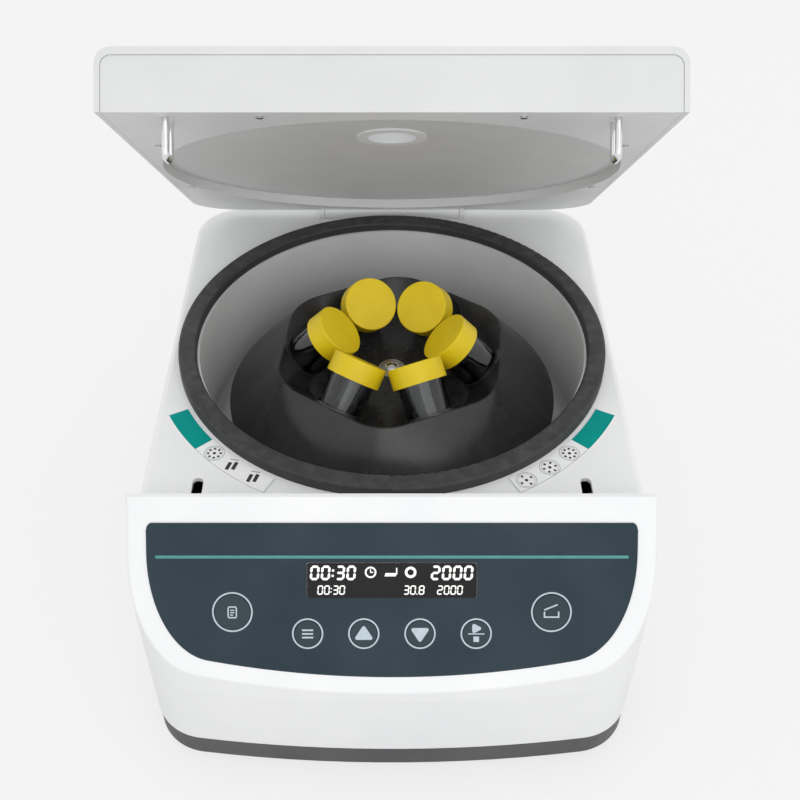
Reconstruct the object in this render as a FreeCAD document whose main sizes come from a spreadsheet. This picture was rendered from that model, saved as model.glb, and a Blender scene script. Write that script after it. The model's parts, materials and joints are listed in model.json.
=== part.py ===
import FreeCAD, Part
import math
import os

import Sketcher

V = FreeCAD.Vector
os.makedirs("parts", exist_ok=True)
doc = FreeCAD.newDocument("centrifuge")
sheet = doc.addObject("Spreadsheet::Sheet", "sizes")

# Driving dimensions, in millimetres and degrees. Plan distances are measured from the bowl axis.
DIMENSIONS = {
    # overall form of the two housings
    "half_width": 142.1,
    "bowl_y": 28.3,
    "foot_height": 4.5,
    "band_height": 22.9,
    "deck_height": 151.2,
    "rear_edge": 157.0,
    "rear_corner": 31.0,
    "front_edge": 222.7,
    "front_corner": 40.0,
    "front_bow": 885.0,
    "chin_lean": 5.6,
    "chin_corner": 33.5,
    "bezel_back": 154.0,
    "bezel_lip": 1.4,
    "bezel_crest": 1.5,
    "bezel_rise": 24.3,
    "panel_lean": 38.0,
    "edge_round": 4.0,
    "panel_round": 2.0,
    "crest_round": 1.0,
    "ridge_land": 8.0,
    "band_round": 2.5,
    "band_inset": 0.6,
    "moulded_wall": 2.6,
    "floor_wall": 3.0,
    "seam": 0.2,
    "seat_gap": 0.3,
    "running_gap": 0.05,
    "tongue_height": 4.0,
    "tongue_wall": 1.4,
    "overcut": 1.0,
    # control panel overlay, display and keys
    "panel_half_width": 131.3,
    "panel_top": 16.5,
    "panel_front": 217.1,
    "panel_corner": 36.0,
    "panel_top_corner": 3.0,
    "panel_bow": 880.0,
    "overlay_thick": 0.6,
    "display_width": 90.8,
    "display_drop": 46.8,
    "display_tall": 18.6,
    "display_thick": 1.0,
    "display_corner": 1.2,
    "screen_margin": 3.0,
    "module_depth": 7.0,
    "large_key_x": 85.6,
    "large_key_drop": 64.2,
    "large_key_radius": 9.7,
    "small_key_pitch": 30.2,
    "small_key_drop": 76.0,
    "small_key_radius": 7.2,
    "key_gap": 0.25,
    "key_proud": 0.5,
    "key_bevel": 0.3,
    "key_travel": 0.5,
    "key_flange": 1.2,
    "key_flange_thick": 1.0,
    "key_stem_radius": 2.2,
    "board_depth": 12.0,
    "board_half_width": 100.0,
    "board_top": 34.0,
    "board_low": 86.0,
    "board_thick": 1.6,
    "switch_size": 6.0,
    "switch_tall": 4.3,
    "board_boss_radius": 3.2,
    "board_boss_x": 94.0,
    "board_boss_top": 40.0,
    "board_boss_low": 80.0,
    # bowl and its gasket
    "gasket_rise": 7.3,
    "gasket_outer": 136.4,
    "gasket_inner": 125.0,
    "gasket_round": 1.6,
    "bowl_radius": 123.5,
    "bowl_sheet": 1.2,
    "bowl_flange": 131.0,
    "bowl_depth": 85.0,
    "bowl_floor_round": 9.0,
    "bowl_boss_radius": 27.0,
    "bowl_boss_rise": 4.0,
    "shaft_hole": 9.0,
    # rotor
    "rotor_turn": -5.5,
    "rotor_rim_drop": 12.0,
    "rotor_flat": 70.5,
    "rim_land": 1.0,
    "rotor_rim_corner": 31.0,
    "funnel_depth": 18.0,
    "rotor_radius": 108.4,
    "hood_drop": 38.0,
    "skirt_height": 24.0,
    "bore_tilt": 45.0,
    "pivot_radius": 37.7,
    "pivot_drop": 4.5,
    "bore_radius": 14.85,
    "bore_straight": 77.0,
    "bore_end": 90.2,
    "bore_tip_radius": 2.2,
    "collar_radius": 17.7,
    "collar_rise": 1.3,
    "hub_radius": 18.0,
    "hollow_outer": 42.0,
    "hollow_top": 29.0,
    "bush_radius": 9.0,
    "shaft_radius": 4.0,
    "shaft_length": 85.0,
    "nut_radius": 3.6,
    "nut_corner": 4.9,
    "nut_rise": 3.0,
    # tubes and caps
    "tube_radius": 14.5,
    "tube_wall": 1.0,
    "tube_shoulder": 76.0,
    "tube_tip": 89.0,
    "tube_tip_radius": 2.6,
    "cap_radius": 17.4,
    "cap_height": 13.0,
    "cap_roof": 1.8,
    "cap_round": 0.8,
    # lid
    "lid_open": 42.0,
    "pivot_y": 150.0,
    "pivot_rise": 1.3,
    "lid_front": 153.2,
    "lid_rear": 147.5,
    "lid_corner": 34.0,
    "lid_height": 31.2,
    "lid_lift": 1.8,
    "lid_round": 8.0,
    "lid_roof": 3.8,
    "lid_wall": 2.7,
    "liner_gap": 0.15,
    "liner_wall": 2.4,
    "liner_setback": 0.5,
    "recess_radius": 137.3,
    "land_inner": 131.5,
    "seal_gap": 0.5,
    "dome_rise": 17.0,
    "port_radius": 21.7,
    "port_hole": 15.0,
    "port_barrel": 18.0,
    "port_drop": 1.5,
    "port_lip": 1.6,
    "window_thick": 2.0,
    "striker_x": 110.0,
    "striker_front": 145.0,
    "striker_pitch": 12.0,
    "striker_rod": 3.5,
    "striker_reach": 21.0,
    "striker_bend": 3.2,
    "screw_head": 1.8,
    "screw_head_thick": 1.0,
    "screw_shank": 1.1,
    "screw_length": 6.0,
    "front_screw_x": 64.0,
    "front_screw_inset": 8.8,
    "side_screw_inset": 15.4,
    "side_screw_y": 78.0,
    "rear_screw_inset": 11.1,
    "rear_screw_y": 49.6,
    # lid hinge
    "lug_half_width": 49.6,
    "knuckle_radius": 6.7,
    "lug_depth": 9.7,
    "lug_top": 11.7,
    "lug_rear": 1.5,
    "hinge_pin_radius": 2.5,
    "ear_thick": 3.0,
    "notch_depth": 17.0,
    "notch_front": 8.7,
    "bracket_thick": 2.0,
    # latch
    "slot_width": 6.2,
    "slot_corner": 2.8,
    "slot_length": 28.2,
    "slot_front": 149.5,
    "bolt_radius": 3.0,
    "bolt_drop": 7.3,
    "bolt_travel": 9.0,
    "bolt_gap": 4.4,
    "bolt_length": 52.0,
    "solenoid_x": 62.0,
    "solenoid_length": 34.0,
    "solenoid_wide": 18.0,
    "solenoid_tall": 11.0,
    "latch_sheet": 2.0,
    # drive
    "damper_circle": 60.0,
    "damper_radius": 8.0,
    "damper_height": 13.0,
    "mount_radius": 72.0,
    "mount_sheet": 3.0,
    "motor_radius": 42.0,
    "motor_flange": 50.0,
    "motor_flange_thick": 4.0,
    "motor_below": 9.0,
    "motor_top_gap": 9.0,
    "motor_nose_radius": 13.0,
    "motor_nose": 4.0,
    # rear connections and boards
    "connector_height": 52.0,
    "inlet_x": 62.0,
    "inlet_width": 27.5,
    "inlet_tall": 20.0,
    "inlet_flange_width": 48.0,
    "inlet_flange_tall": 22.6,
    "inlet_flange_thick": 2.5,
    "inlet_depth": 22.0,
    "inlet_cavity": 16.0,
    "inlet_wall": 1.8,
    "pin_length": 11.0,
    "pin_width": 2.0,
    "pin_tall": 4.0,
    "switch_x": 15.0,
    "switch_width": 19.2,
    "switch_height": 13.0,
    "switch_bezel": 1.8,
    "switch_bezel_thick": 2.0,
    "switch_depth": 14.0,
    "switch_frame_wall": 1.4,
    "rocker_swing": 8.0,
    "vent_count": 9,
    "vent_pitch": 8.0,
    "vent_width": 3.2,
    "vent_corner": 1.4,
    "vent_tall": 34.0,
    "vent_x": -85.0,
    "power_board_gap": 7.5,
    "power_board_width": 46.0,
    "power_board_length": 110.0,
    "power_board_rise": 8.0,
    "transformer_width": 28.0,
    "transformer_length": 33.0,
    "transformer_tall": 27.6,
    "capacitor_radius": 10.0,
    "small_capacitor_radius": 6.4,
    "capacitor_tall": 23.0,
    # feet
    "foot_inset": 30.1,
    "foot_front": 165.0,
    "foot_rear": 118.0,
    "foot_radius": 11.0,
    "foot_screw_head": 4.0,
    "foot_screw_head_thick": 2.0,
    "foot_screw_shank": 1.9,
    "foot_screw_length": 9.0,
    "foot_boss": 5.0,
    "foot_recess": 5.0,
    "foot_web": 0.5,
    # deck labels
    "label_gap": 2.6,
    "label_width": 12.5,
    "label_thick": 0.4,
    "label_from": 27.2,
    "label_to": 61.4,
}


class Size:
    """A length or angle: its number now and the sheet formula that it follows."""

    def __init__(self, value, text):
        self.value = float(value)
        self.text = text

    def __float__(self):
        return self.value

    def __neg__(self):
        return 0 - self

    def __add__(self, other):
        return joined(self, "+", other, self.value + float(other))

    def __radd__(self, other):
        return joined(other, "+", self, float(other) + self.value)

    def __sub__(self, other):
        return joined(self, "-", other, self.value - float(other))

    def __rsub__(self, other):
        return joined(other, "-", self, float(other) - self.value)

    def __mul__(self, other):
        return joined(self, "*", other, self.value * float(other))

    def __rmul__(self, other):
        return joined(other, "*", self, float(other) * self.value)

    def __truediv__(self, other):
        return joined(self, "/", other, self.value / float(other))

    def __rtruediv__(self, other):
        return joined(other, "/", self, float(other) / self.value)


def formula(size):
    if isinstance(size, Size):
        return size.text
    return "(%.10g)" % float(size)


def joined(left, sign, right, value):
    return Size(value, "(%s %s %s)" % (formula(left), sign, formula(right)))


def sine(angle):
    return Size(math.sin(math.radians(float(angle))), "sin(%s)" % formula(angle))


def cosine(angle):
    return Size(math.cos(math.radians(float(angle))), "cos(%s)" % formula(angle))


def tangent(angle):
    return sine(angle) / cosine(angle)


def root(size):
    return Size(math.sqrt(float(size)), "sqrt(%s)" % formula(size))


class Sizes:
    """The spreadsheet's cells as sizes, one attribute for each alias."""


s = Sizes()
for row, (name, number) in enumerate(DIMENSIONS.items(), 1):
    sheet.set("A%d" % row, name)
    sheet.set("B%d" % row, str(number))
    sheet.setAlias("B%d" % row, name)
    setattr(s, name, Size(number, "sizes." + name))
doc.recompute()

# Heights above the bench, and the levels that several pieces share
panel_cos = cosine(s.panel_lean)
panel_sin = sine(s.panel_lean)
panel_tan = tangent(s.panel_lean)
base_floor = s.foot_height + s.floor_wall
bezel_top = s.deck_height + s.bezel_rise
slope_back = s.bezel_back + s.bezel_lip
ridge_height = bezel_top - (s.front_edge - slope_back) / panel_tan
chin_height = ridge_height - s.ridge_land
gasket_top = s.deck_height + s.gasket_rise
deck_under = s.deck_height - s.moulded_wall
pivot_height = s.deck_height + s.pivot_rise
rim_height = gasket_top - s.rotor_rim_drop
inner_half = s.half_width - s.moulded_wall
notch_half = s.lug_half_width + s.ear_thick + 2 * s.seat_gap
lid_rim = s.lid_lift - s.pivot_rise
lid_ceiling = s.gasket_rise - s.pivot_rise + s.dome_rise
bolt_rest = s.striker_x - s.bolt_gap
foot_x = s.half_width - s.foot_inset
nodes = []


# General helpers
def bind(thing, path, size):
    thing.setExpression(path, formula(size))


def plane_of(body, role):
    return [feature for feature in body.Origin.OriginFeatures if feature.Role == role][0]


def new_body(label, x=0, y=0, z=0, yaw=0, pitch=0, roll=0):
    """A body whose own origin lies at x, y, z, turned by yaw, pitch and roll."""
    body = doc.addObject("PartDesign::Body", label)
    body.Label = label
    place = "placement(vector(%s; %s; %s); rotation(%s; %s; %s))"
    body.setExpression("Placement", place % tuple(formula(part) for part in (x, y, z, yaw, pitch, roll)))
    return body


def new_sketch(body, plane="XY_Plane", level=0, right=0, up=0, turn=0):
    """A sketch on an origin plane, moved along its normal and in its own plane."""
    sketch = body.newObject("Sketcher::SketchObject", "outline")
    sketch.AttachmentSupport = [(plane_of(body, plane), "")]
    sketch.MapMode = "FlatFace"
    offset = "placement(vector(%s; %s; %s); rotation(%s; 0; 0))"
    places = tuple(formula(part) for part in (right, up, level, turn))
    sketch.setExpression("AttachmentOffset", offset % places)
    return sketch


def dimension(sketch, kind, *parts):
    """A driving constraint whose last argument is a size."""
    size = parts[-1]
    index = sketch.addConstraint(Sketcher.Constraint(kind, *parts[:-1], float(size)))
    bind(sketch, "Constraints[%d]" % index, size)


def arc_between(start, end, radius):
    """The short arc from start to end. A positive radius turns left, a negative one right."""
    chord = end - start
    size = abs(float(radius))
    rise = math.sqrt(max(size * size - chord.Length * chord.Length / 4, 0))
    side = V(-chord.y, chord.x, 0).normalize() * (rise if float(radius) > 0 else -rise)
    centre = (start + end) * 0.5 + side
    angles = [math.atan2(point.y - centre.y, point.x - centre.x) for point in (start, end)]
    if float(radius) < 0:
        angles.reverse()
    if angles[1] < angles[0]:
        angles[1] += 2 * math.pi
    return Part.ArcOfCircle(Part.Circle(centre, V(0, 0, 1), size), angles[0], angles[1])


def draw(sketch, corners, arcs=None):
    """A closed outline through corners. arcs gives the radius of the stretch after a corner."""
    arcs = arcs or {}
    points = [V(float(x), float(y), 0) for x, y in corners]
    count = len(points)
    first = sketch.GeometryCount
    ends = []
    for index, point in enumerate(points):
        after = points[(index + 1) % count]
        if index in arcs:
            sketch.addGeometry(arc_between(point, after, arcs[index]), False)
            ends.append((1, 2) if float(arcs[index]) > 0 else (2, 1))
        else:
            sketch.addGeometry(Part.LineSegment(point, after), False)
            ends.append((1, 2))
    for index in range(count):
        after = (index + 1) % count
        here = (first + index, ends[index][1])
        there = (first + after, ends[after][0])
        sketch.addConstraint(Sketcher.Constraint("Coincident", *here, *there))
    for index, (x, y) in enumerate(corners):
        dimension(sketch, "DistanceX", -1, 1, first + index, ends[index][0], x)
        dimension(sketch, "DistanceY", -1, 1, first + index, ends[index][0], y)
    for index, radius in arcs.items():
        size = radius if float(radius) > 0 else -radius
        dimension(sketch, "Radius", first + index, size)
    return sketch


def draw_circle(sketch, x, y, radius):
    circle = Part.Circle(V(float(x), float(y), 0), V(0, 0, 1), float(radius))
    index = sketch.addGeometry(circle, False)
    dimension(sketch, "DistanceX", -1, 1, index, 3, x)
    dimension(sketch, "DistanceY", -1, 1, index, 3, y)
    dimension(sketch, "Radius", index, radius)
    return sketch


def draw_box(sketch, left, right, low, high, corner=None):
    """A rectangle, with rounded corners where a radius is given."""
    if corner is None:
        return draw(sketch, [(left, low), (right, low), (right, high), (left, high)])
    corners = [
        (left + corner, low), (right - corner, low), (right, low + corner), (right, high - corner),
        (right - corner, high), (left + corner, high), (left, high - corner), (left, low + corner),
    ]
    return draw(sketch, corners, {1: corner, 3: corner, 5: corner, 7: corner})


def draw_plan(sketch, half, rear, front, rear_corner=None, front_corner=None, bow=None):
    """The housing's plan. The front is bowed where a bow radius is given, and straight otherwise."""
    corners = []
    arcs = {}
    if rear_corner is None:
        corners += [(half, rear), (-half, rear)]
    else:
        corners += [(half, rear - rear_corner), (half - rear_corner, rear)]
        corners += [(rear_corner - half, rear), (-half, rear - rear_corner)]
        arcs[0] = rear_corner
        arcs[2] = rear_corner
    if bow is not None:
        centre_y = bow - front
        side = half - front_corner
        reach = root((bow - front_corner) * (bow - front_corner) - side * side)
        corner_y = centre_y - reach
        touch_x = side * bow / (bow - front_corner)
        touch_y = centre_y - reach * bow / (bow - front_corner)
        start = len(corners)
        corners += [(-half, corner_y), (-touch_x, touch_y), (touch_x, touch_y), (half, corner_y)]
        arcs.update({start: front_corner, start + 1: bow, start + 2: front_corner})
    elif front_corner is not None:
        start = len(corners)
        corners += [(-half, front_corner - front), (front_corner - half, -front)]
        corners += [(half - front_corner, -front), (half, front_corner - front)]
        arcs.update({start: front_corner, start + 2: front_corner})
    else:
        corners += [(-half, -front), (half, -front)]
    return draw(sketch, corners, arcs)


def feature(body, kind, sketch, length, both, down):
    item = body.newObject(kind, "feature")
    item.Profile = sketch
    if length is None:
        item.Type = "ThroughAll"
    else:
        bind(item, "Length", length)
    if both:
        item.SideType = "Symmetric"
    item.Reversed = down
    return item


def pad(body, sketch, length, both=False, down=False):
    return feature(body, "PartDesign::Pad", sketch, length, both, down)


def pocket(body, sketch, length=None, both=False, up=False):
    """Cuts down from the sketch, or up, and stops the build if it removes nothing."""
    doc.recompute()
    before = body.Shape.Volume
    item = feature(body, "PartDesign::Pocket", sketch, length, both, up)
    doc.recompute()
    if item.Shape.Volume >= before:
        raise RuntimeError("%s: a pocket cuts nothing" % body.Label)
    return item


def revolve(body, sketch, cut=False):
    item = body.newObject("PartDesign::Groove" if cut else "PartDesign::Revolution", "turned")
    item.Profile = sketch
    item.ReferenceAxis = (sketch, ["V_Axis"])
    item.Angle = 360
    return item


def ring_pattern(body, original, count):
    item = body.newObject("PartDesign::PolarPattern", "ring")
    item.Originals = [original]
    item.Axis = (plane_of(body, "Z_Axis"), [""])
    item.Angle = 360
    item.Occurrences = count
    body.Tip = item
    return item


def round_edges(body, radius, chosen):
    """Rounds those edges of the body so far for which chosen(edge) is true."""
    doc.recompute()
    tip = body.Tip
    names = ["Edge%d" % index for index, edge in enumerate(tip.Shape.Edges, 1) if chosen(edge)]
    if not names:
        raise RuntimeError("%s: no edge to round" % body.Label)
    item = body.newObject("PartDesign::Fillet", "rounding")
    item.Base = (tip, names)
    bind(item, "Radius", radius)
    return item


def at_height(edge, height):
    return abs(edge.BoundBox.ZMin - float(height)) < 1e-4 and abs(edge.BoundBox.ZMax - float(height)) < 1e-4


def turned(label, profile, arcs=None, height=0):
    """A round piece on the bowl axis, from its half section of radius and height."""
    body = new_body(label, y=s.bowl_y, z=height)
    revolve(body, draw(new_sketch(body, "XZ_Plane"), profile, arcs))
    return body


def boolean(kind, base, tool):
    item = doc.addObject(kind, "joined")
    item.Base = base
    item.Tool = tool
    return item


def cut(base, tool):
    return boolean("Part::Cut", base, tool)


def common(first, second):
    item = doc.addObject("Part::MultiCommon", "common")
    item.Shapes = [first, second]
    return item


def fuse(*things):
    item = doc.addObject("Part::MultiFuse", "fused")
    item.Shapes = list(things)
    return item


def keep(thing, label=None):
    """Hands a finished sub-part to the list of nodes."""
    if label is not None:
        thing.Label = label
    nodes.append(thing)
    return thing


def panel_body(label):
    """A body in the control panel's frame: X to the right, Y up the slope, Z out of the panel."""
    return new_body(label, y=s.bowl_y - slope_back, z=bezel_top, roll=90 - s.panel_lean)


def lid_body(label, x=0, y=0, z=0):
    """A body in the lid's frame: its origin on the hinge axis, its axes those of the closed lid."""
    swing_cos = cosine(s.lid_open)
    swing_sin = sine(s.lid_open)
    return new_body(
        label,
        x=x,
        y=s.bowl_y + s.pivot_y + y * swing_cos + z * swing_sin,
        z=pivot_height - y * swing_sin + z * swing_cos,
        roll=-s.lid_open,
    )


# Base pan: a shallow tray with a tongue that locates both upper mouldings
def base_pan():
    body = new_body("base_pan", y=s.bowl_y)
    half = s.half_width - s.band_inset
    rear = s.rear_edge - s.band_inset
    front = s.front_edge - s.chin_lean - s.band_inset
    corner = s.chin_corner - s.band_inset
    bow = s.front_bow - s.band_inset
    rear_corner = s.rear_corner - s.band_inset
    outer = new_sketch(body, level=s.foot_height)
    draw_plan(outer, half, rear, front, rear_corner, corner, bow)
    pad(body, outer, s.band_height - s.foot_height)
    round_edges(body, s.band_round, lambda edge: at_height(edge, s.foot_height))
    wall = s.floor_wall
    room = new_sketch(body, level=s.band_height)
    draw_plan(room, half - wall, rear - wall, front - wall, rear_corner - wall, corner - wall, bow - wall)
    pocket(body, room, s.band_height - base_floor)
    # tongue inside the walls of the upper mouldings
    out = s.moulded_wall + s.seat_gap - s.band_inset
    inner = out + s.tongue_wall
    tongue = new_sketch(body, level=s.band_height - s.tongue_wall)
    for inset in (out, inner):
        draw_plan(
            tongue, half - inset, rear - inset, front - inset - s.tongue_wall,
            rear_corner - inset, corner - inset, bow - inset,
        )
    pad(body, tongue, s.tongue_height + s.tongue_wall)
    # bosses for the screws of the feet
    bosses = new_sketch(body, level=base_floor - s.seam)
    holes = new_sketch(body, level=s.foot_height + s.foot_screw_length)
    for x in (-foot_x, foot_x):
        for y in (-s.foot_front, s.foot_rear):
            draw_circle(bosses, x, y, s.foot_boss)
            draw_circle(holes, x, y, s.foot_screw_shank + s.running_gap)
    pad(body, bosses, s.foot_screw_length - s.floor_wall + s.seam + s.overcut)
    pocket(body, holes, s.foot_screw_length + s.overcut)
    keep(body)


# Upper housing: side and rear walls and the deck round the bowl
def upper_housing():
    body = new_body("upper_housing", y=s.bowl_y)
    front = s.bezel_back - s.seam
    outer = new_sketch(body, level=s.band_height)
    draw_plan(outer, s.half_width, s.rear_edge, front, s.rear_corner)
    pad(body, outer, s.deck_height - s.band_height)
    round_edges(
        body, s.edge_round,
        lambda edge: at_height(edge, s.deck_height) and edge.BoundBox.YMax > float(s.overcut - front),
    )
    room = new_sketch(body, level=s.band_height)
    wall = s.moulded_wall
    draw_plan(room, inner_half, s.rear_edge - wall, front + s.overcut, s.rear_corner - wall)
    pocket(body, room, deck_under - s.band_height, up=True)
    # walled notch for the lid hinge
    notch_floor = pivot_height - s.notch_depth
    notch_front = s.pivot_y - s.notch_front
    block = new_sketch(body, level=notch_floor - wall)
    draw_box(block, -notch_half - wall, notch_half + wall, notch_front - wall, s.rear_edge - wall / 2)
    pad(body, block, deck_under - notch_floor + 1.5 * wall)
    notch = new_sketch(body, level=s.deck_height)
    draw_box(notch, -notch_half, notch_half, notch_front, s.rear_edge + s.overcut)
    pocket(body, notch, s.deck_height - notch_floor)
    # opening for the bowl and slots for the two strikers
    openings = new_sketch(body, level=s.deck_height)
    draw_circle(openings, 0, 0, s.bowl_radius + s.bowl_sheet + s.seat_gap)
    for x in (-s.striker_x, s.striker_x):
        draw_box(
            openings, x - s.slot_width / 2, x + s.slot_width / 2,
            -s.slot_front, s.slot_length - s.slot_front, s.slot_corner,
        )
    pocket(body, openings, s.moulded_wall + s.overcut)
    # openings in the rear wall: power inlet, switch and vent slots
    rear = new_sketch(body, "XZ_Plane", level=-s.rear_edge + wall / 2)
    low = s.connector_height
    draw_box(
        rear, s.inlet_x - s.inlet_width / 2 - s.seat_gap, s.inlet_x + s.inlet_width / 2 + s.seat_gap,
        low - s.inlet_tall / 2 - s.seat_gap, low + s.inlet_tall / 2 + s.seat_gap,
    )
    draw_box(
        rear, s.switch_x - s.switch_width / 2 - s.seat_gap, s.switch_x + s.switch_width / 2 + s.seat_gap,
        low - s.switch_height / 2 - s.seat_gap, low + s.switch_height / 2 + s.seat_gap,
    )
    for index in range(DIMENSIONS["vent_count"]):
        x = s.vent_x + s.vent_pitch * index
        draw_box(rear, x, x + s.vent_width, low - s.vent_tall / 2, low + s.vent_tall / 2, s.vent_corner)
    pocket(body, rear, 4 * wall, both=True)
    keep(body)


def front_form(label, inset=0):
    """The front moulding's form, moved inwards by inset on every side, with its sloping face."""
    body = new_body(label, y=s.bowl_y)
    back = -s.bezel_back - inset
    half = s.half_width - inset
    chin = new_sketch(body, level=s.band_height)
    draw_plan(
        chin, half, back, s.front_edge - s.chin_lean - inset, None,
        s.chin_corner - inset, s.front_bow - inset,
    )
    ridge = new_sketch(body, level=chin_height)
    draw_plan(ridge, half, back, s.front_edge - inset, None, s.front_corner - inset, s.front_bow - inset)
    loft = body.newObject("PartDesign::AdditiveLoft", "chin")
    loft.Profile = chin
    loft.Sections = [ridge]
    loft.Ruled = True
    brow = new_sketch(body, level=chin_height)
    draw_plan(brow, half, back, s.front_edge - inset, None, s.front_corner - inset, s.front_bow - inset)
    pad(body, brow, bezel_top - s.bezel_crest - inset - chin_height)
    # the sloping face, inset along its own normal
    slope = new_sketch(body, "YZ_Plane")
    face = inset / panel_cos - slope_back
    reach = s.front_edge + s.bezel_rise
    below = bezel_top - (face + reach) / panel_tan
    above = bezel_top + s.bezel_rise
    draw(slope, [(face + panel_tan * s.bezel_rise, above), (-reach, above), (-reach, below)])
    pocket(body, slope, 3 * s.half_width, both=True)
    return body


def panel_pegs(label, extra, low, high, with_display):
    """Round pegs where the keys are, larger by extra, and a block where the display is."""
    body = panel_body(label)
    pegs = new_sketch(body, level=low)
    for _, x, drop, radius in key_places():
        draw_circle(pegs, x, -drop, radius + extra)
    pad(body, pegs, high - low)
    if with_display is not None:
        half = s.display_width / 2 + with_display
        tall = s.display_tall / 2 + with_display
        window = new_sketch(body, level=low)
        draw_box(
            window, -half, half, -s.display_drop - tall, -s.display_drop + tall, s.display_corner,
        )
        pad(body, window, high - low)
    return body


def key_places():
    """Name, place across, place down the slope and radius of each key."""
    half_pitch = s.small_key_pitch / 2
    return [
        ("key_program", -s.large_key_x, s.large_key_drop, s.large_key_radius),
        ("key_menu", -3 * half_pitch, s.small_key_drop, s.small_key_radius),
        ("key_up", -half_pitch, s.small_key_drop, s.small_key_radius),
        ("key_down", half_pitch, s.small_key_drop, s.small_key_radius),
        ("key_start", 3 * half_pitch, s.small_key_drop, s.small_key_radius),
        ("key_lid_release", s.large_key_x, s.large_key_drop, s.large_key_radius),
    ]


# Front housing: bezel, sloping face and chin in one moulding, open at the back and below
def front_housing():
    outer = front_form("front_outer")
    normal = V(0, -float(panel_cos), float(panel_sin))
    start = V(0, -float(slope_back), float(bezel_top))
    crest = float(bezel_top - s.bezel_crest)

    def on_slope(edge):
        middle = edge.valueAt((edge.FirstParameter + edge.LastParameter) / 2)
        points = [vertex.Point for vertex in edge.Vertexes] + [middle]
        below = min(point.z for point in points) < crest - 1e-3
        return below and max(abs((point - start).dot(normal)) for point in points) < 1e-3

    def on_crest(edge):
        return all(abs(vertex.Z - crest) < 1e-3 and vertex.Y < start.y for vertex in edge.Vertexes)

    round_edges(outer, s.panel_round, on_slope)
    round_edges(outer, s.crest_round, on_crest)
    inner = front_form("front_inner", s.moulded_wall)
    wall = s.moulded_wall
    back = new_sketch(inner, level=s.band_height - s.overcut)
    draw_box(back, -inner_half, inner_half, -s.bezel_back - 2 * wall, -s.bezel_back + wall)
    pad(inner, back, deck_under - s.band_height + s.overcut)
    shell = cut(outer, inner)
    bosses = panel_body("board_bosses")
    posts = new_sketch(bosses, level=s.board_thick - s.board_depth)
    for x in (-s.board_boss_x, s.board_boss_x):
        for drop in (s.board_boss_top, s.board_boss_low):
            draw_circle(posts, x, -drop, s.board_boss_radius)
    pad(bosses, posts, s.board_depth - s.board_thick - wall / 2)
    low = -3 * wall
    openings = panel_pegs("front_openings", s.key_gap, low, wall, -s.screen_margin)
    keep(cut(fuse(shell, bosses), openings), "front_housing")


# Control panel: the thin overlay on the sloping face
def control_panel():
    plan = new_body("panel_plan", y=s.bowl_y)
    outline = new_sketch(plan, level=ridge_height)
    rear = -slope_back - s.panel_top * panel_sin
    draw_plan(
        outline, s.panel_half_width, rear, s.panel_front, None, s.panel_corner, s.panel_bow,
    )
    pad(plan, outline, bezel_top - ridge_height)
    round_edges(
        plan, s.panel_top_corner,
        lambda edge: edge.BoundBox.ZLength > 10 and abs(edge.BoundBox.YMax - float(rear)) < 1e-3,
    )
    slab = panel_body("panel_slab")
    sheet_outline = new_sketch(slab)
    draw_box(sheet_outline, -s.half_width, s.half_width, -2 * s.panel_half_width, 0)
    pad(slab, sheet_outline, s.overlay_thick)
    openings = panel_pegs("panel_openings", s.key_gap, -s.overlay_thick, 2 * s.overlay_thick, s.key_gap)
    keep(cut(common(plan, slab), openings), "control_panel")


def display():
    half = s.display_width / 2
    tall = s.display_tall / 2
    window = panel_body("display_window")
    draw_box(
        new_sketch(window), -half, half, -s.display_drop - tall, -s.display_drop + tall, s.display_corner,
    )
    pad(window, window.Group[-1], s.display_thick)
    keep(window)
    module = panel_body("display_module")
    block = new_sketch(module, level=-s.moulded_wall - s.module_depth)
    draw_box(block, -half, half, -s.display_drop - tall, -s.display_drop + tall)
    pad(module, block, s.module_depth)
    keep(module)


# Control board, with one small switch under each key
def control_board():
    board = panel_body("control_board")
    outline = new_sketch(board, level=-s.board_depth)
    draw_box(outline, -s.board_half_width, s.board_half_width, -s.board_low, -s.board_top)
    pad(board, outline, s.board_thick)
    switches = new_sketch(board, level=s.board_thick - s.board_depth)
    half = s.switch_size / 2
    for _, x, drop, _ in key_places():
        draw_box(switches, x - half, x + half, -drop - half, -drop + half)
    pad(board, switches, s.switch_tall)
    keep(board)


def keys():
    """Round keys: a flat face, a flange behind the housing wall and a stem over its switch."""
    for label, x, drop, radius in key_places():
        lean = panel_sin * drop
        body = new_body(
            label, x=x, y=s.bowl_y - slope_back - lean, z=bezel_top - panel_cos * drop,
            roll=90 - s.panel_lean,
        )
        face = s.overlay_thick + s.key_proud
        flange = -s.moulded_wall - s.seat_gap
        behind = flange - s.key_flange_thick
        stem = s.board_thick - s.board_depth + s.switch_tall + s.key_travel + s.seat_gap / 2
        profile = [
            (0, stem), (s.key_stem_radius, stem), (s.key_stem_radius, behind),
            (radius + s.key_flange, behind), (radius + s.key_flange, flange), (radius, flange),
            (radius, face - s.key_bevel), (radius - s.key_bevel, face), (0, face),
        ]
        revolve(body, draw(new_sketch(body, "XZ_Plane"), profile))
        keep(body)


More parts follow.
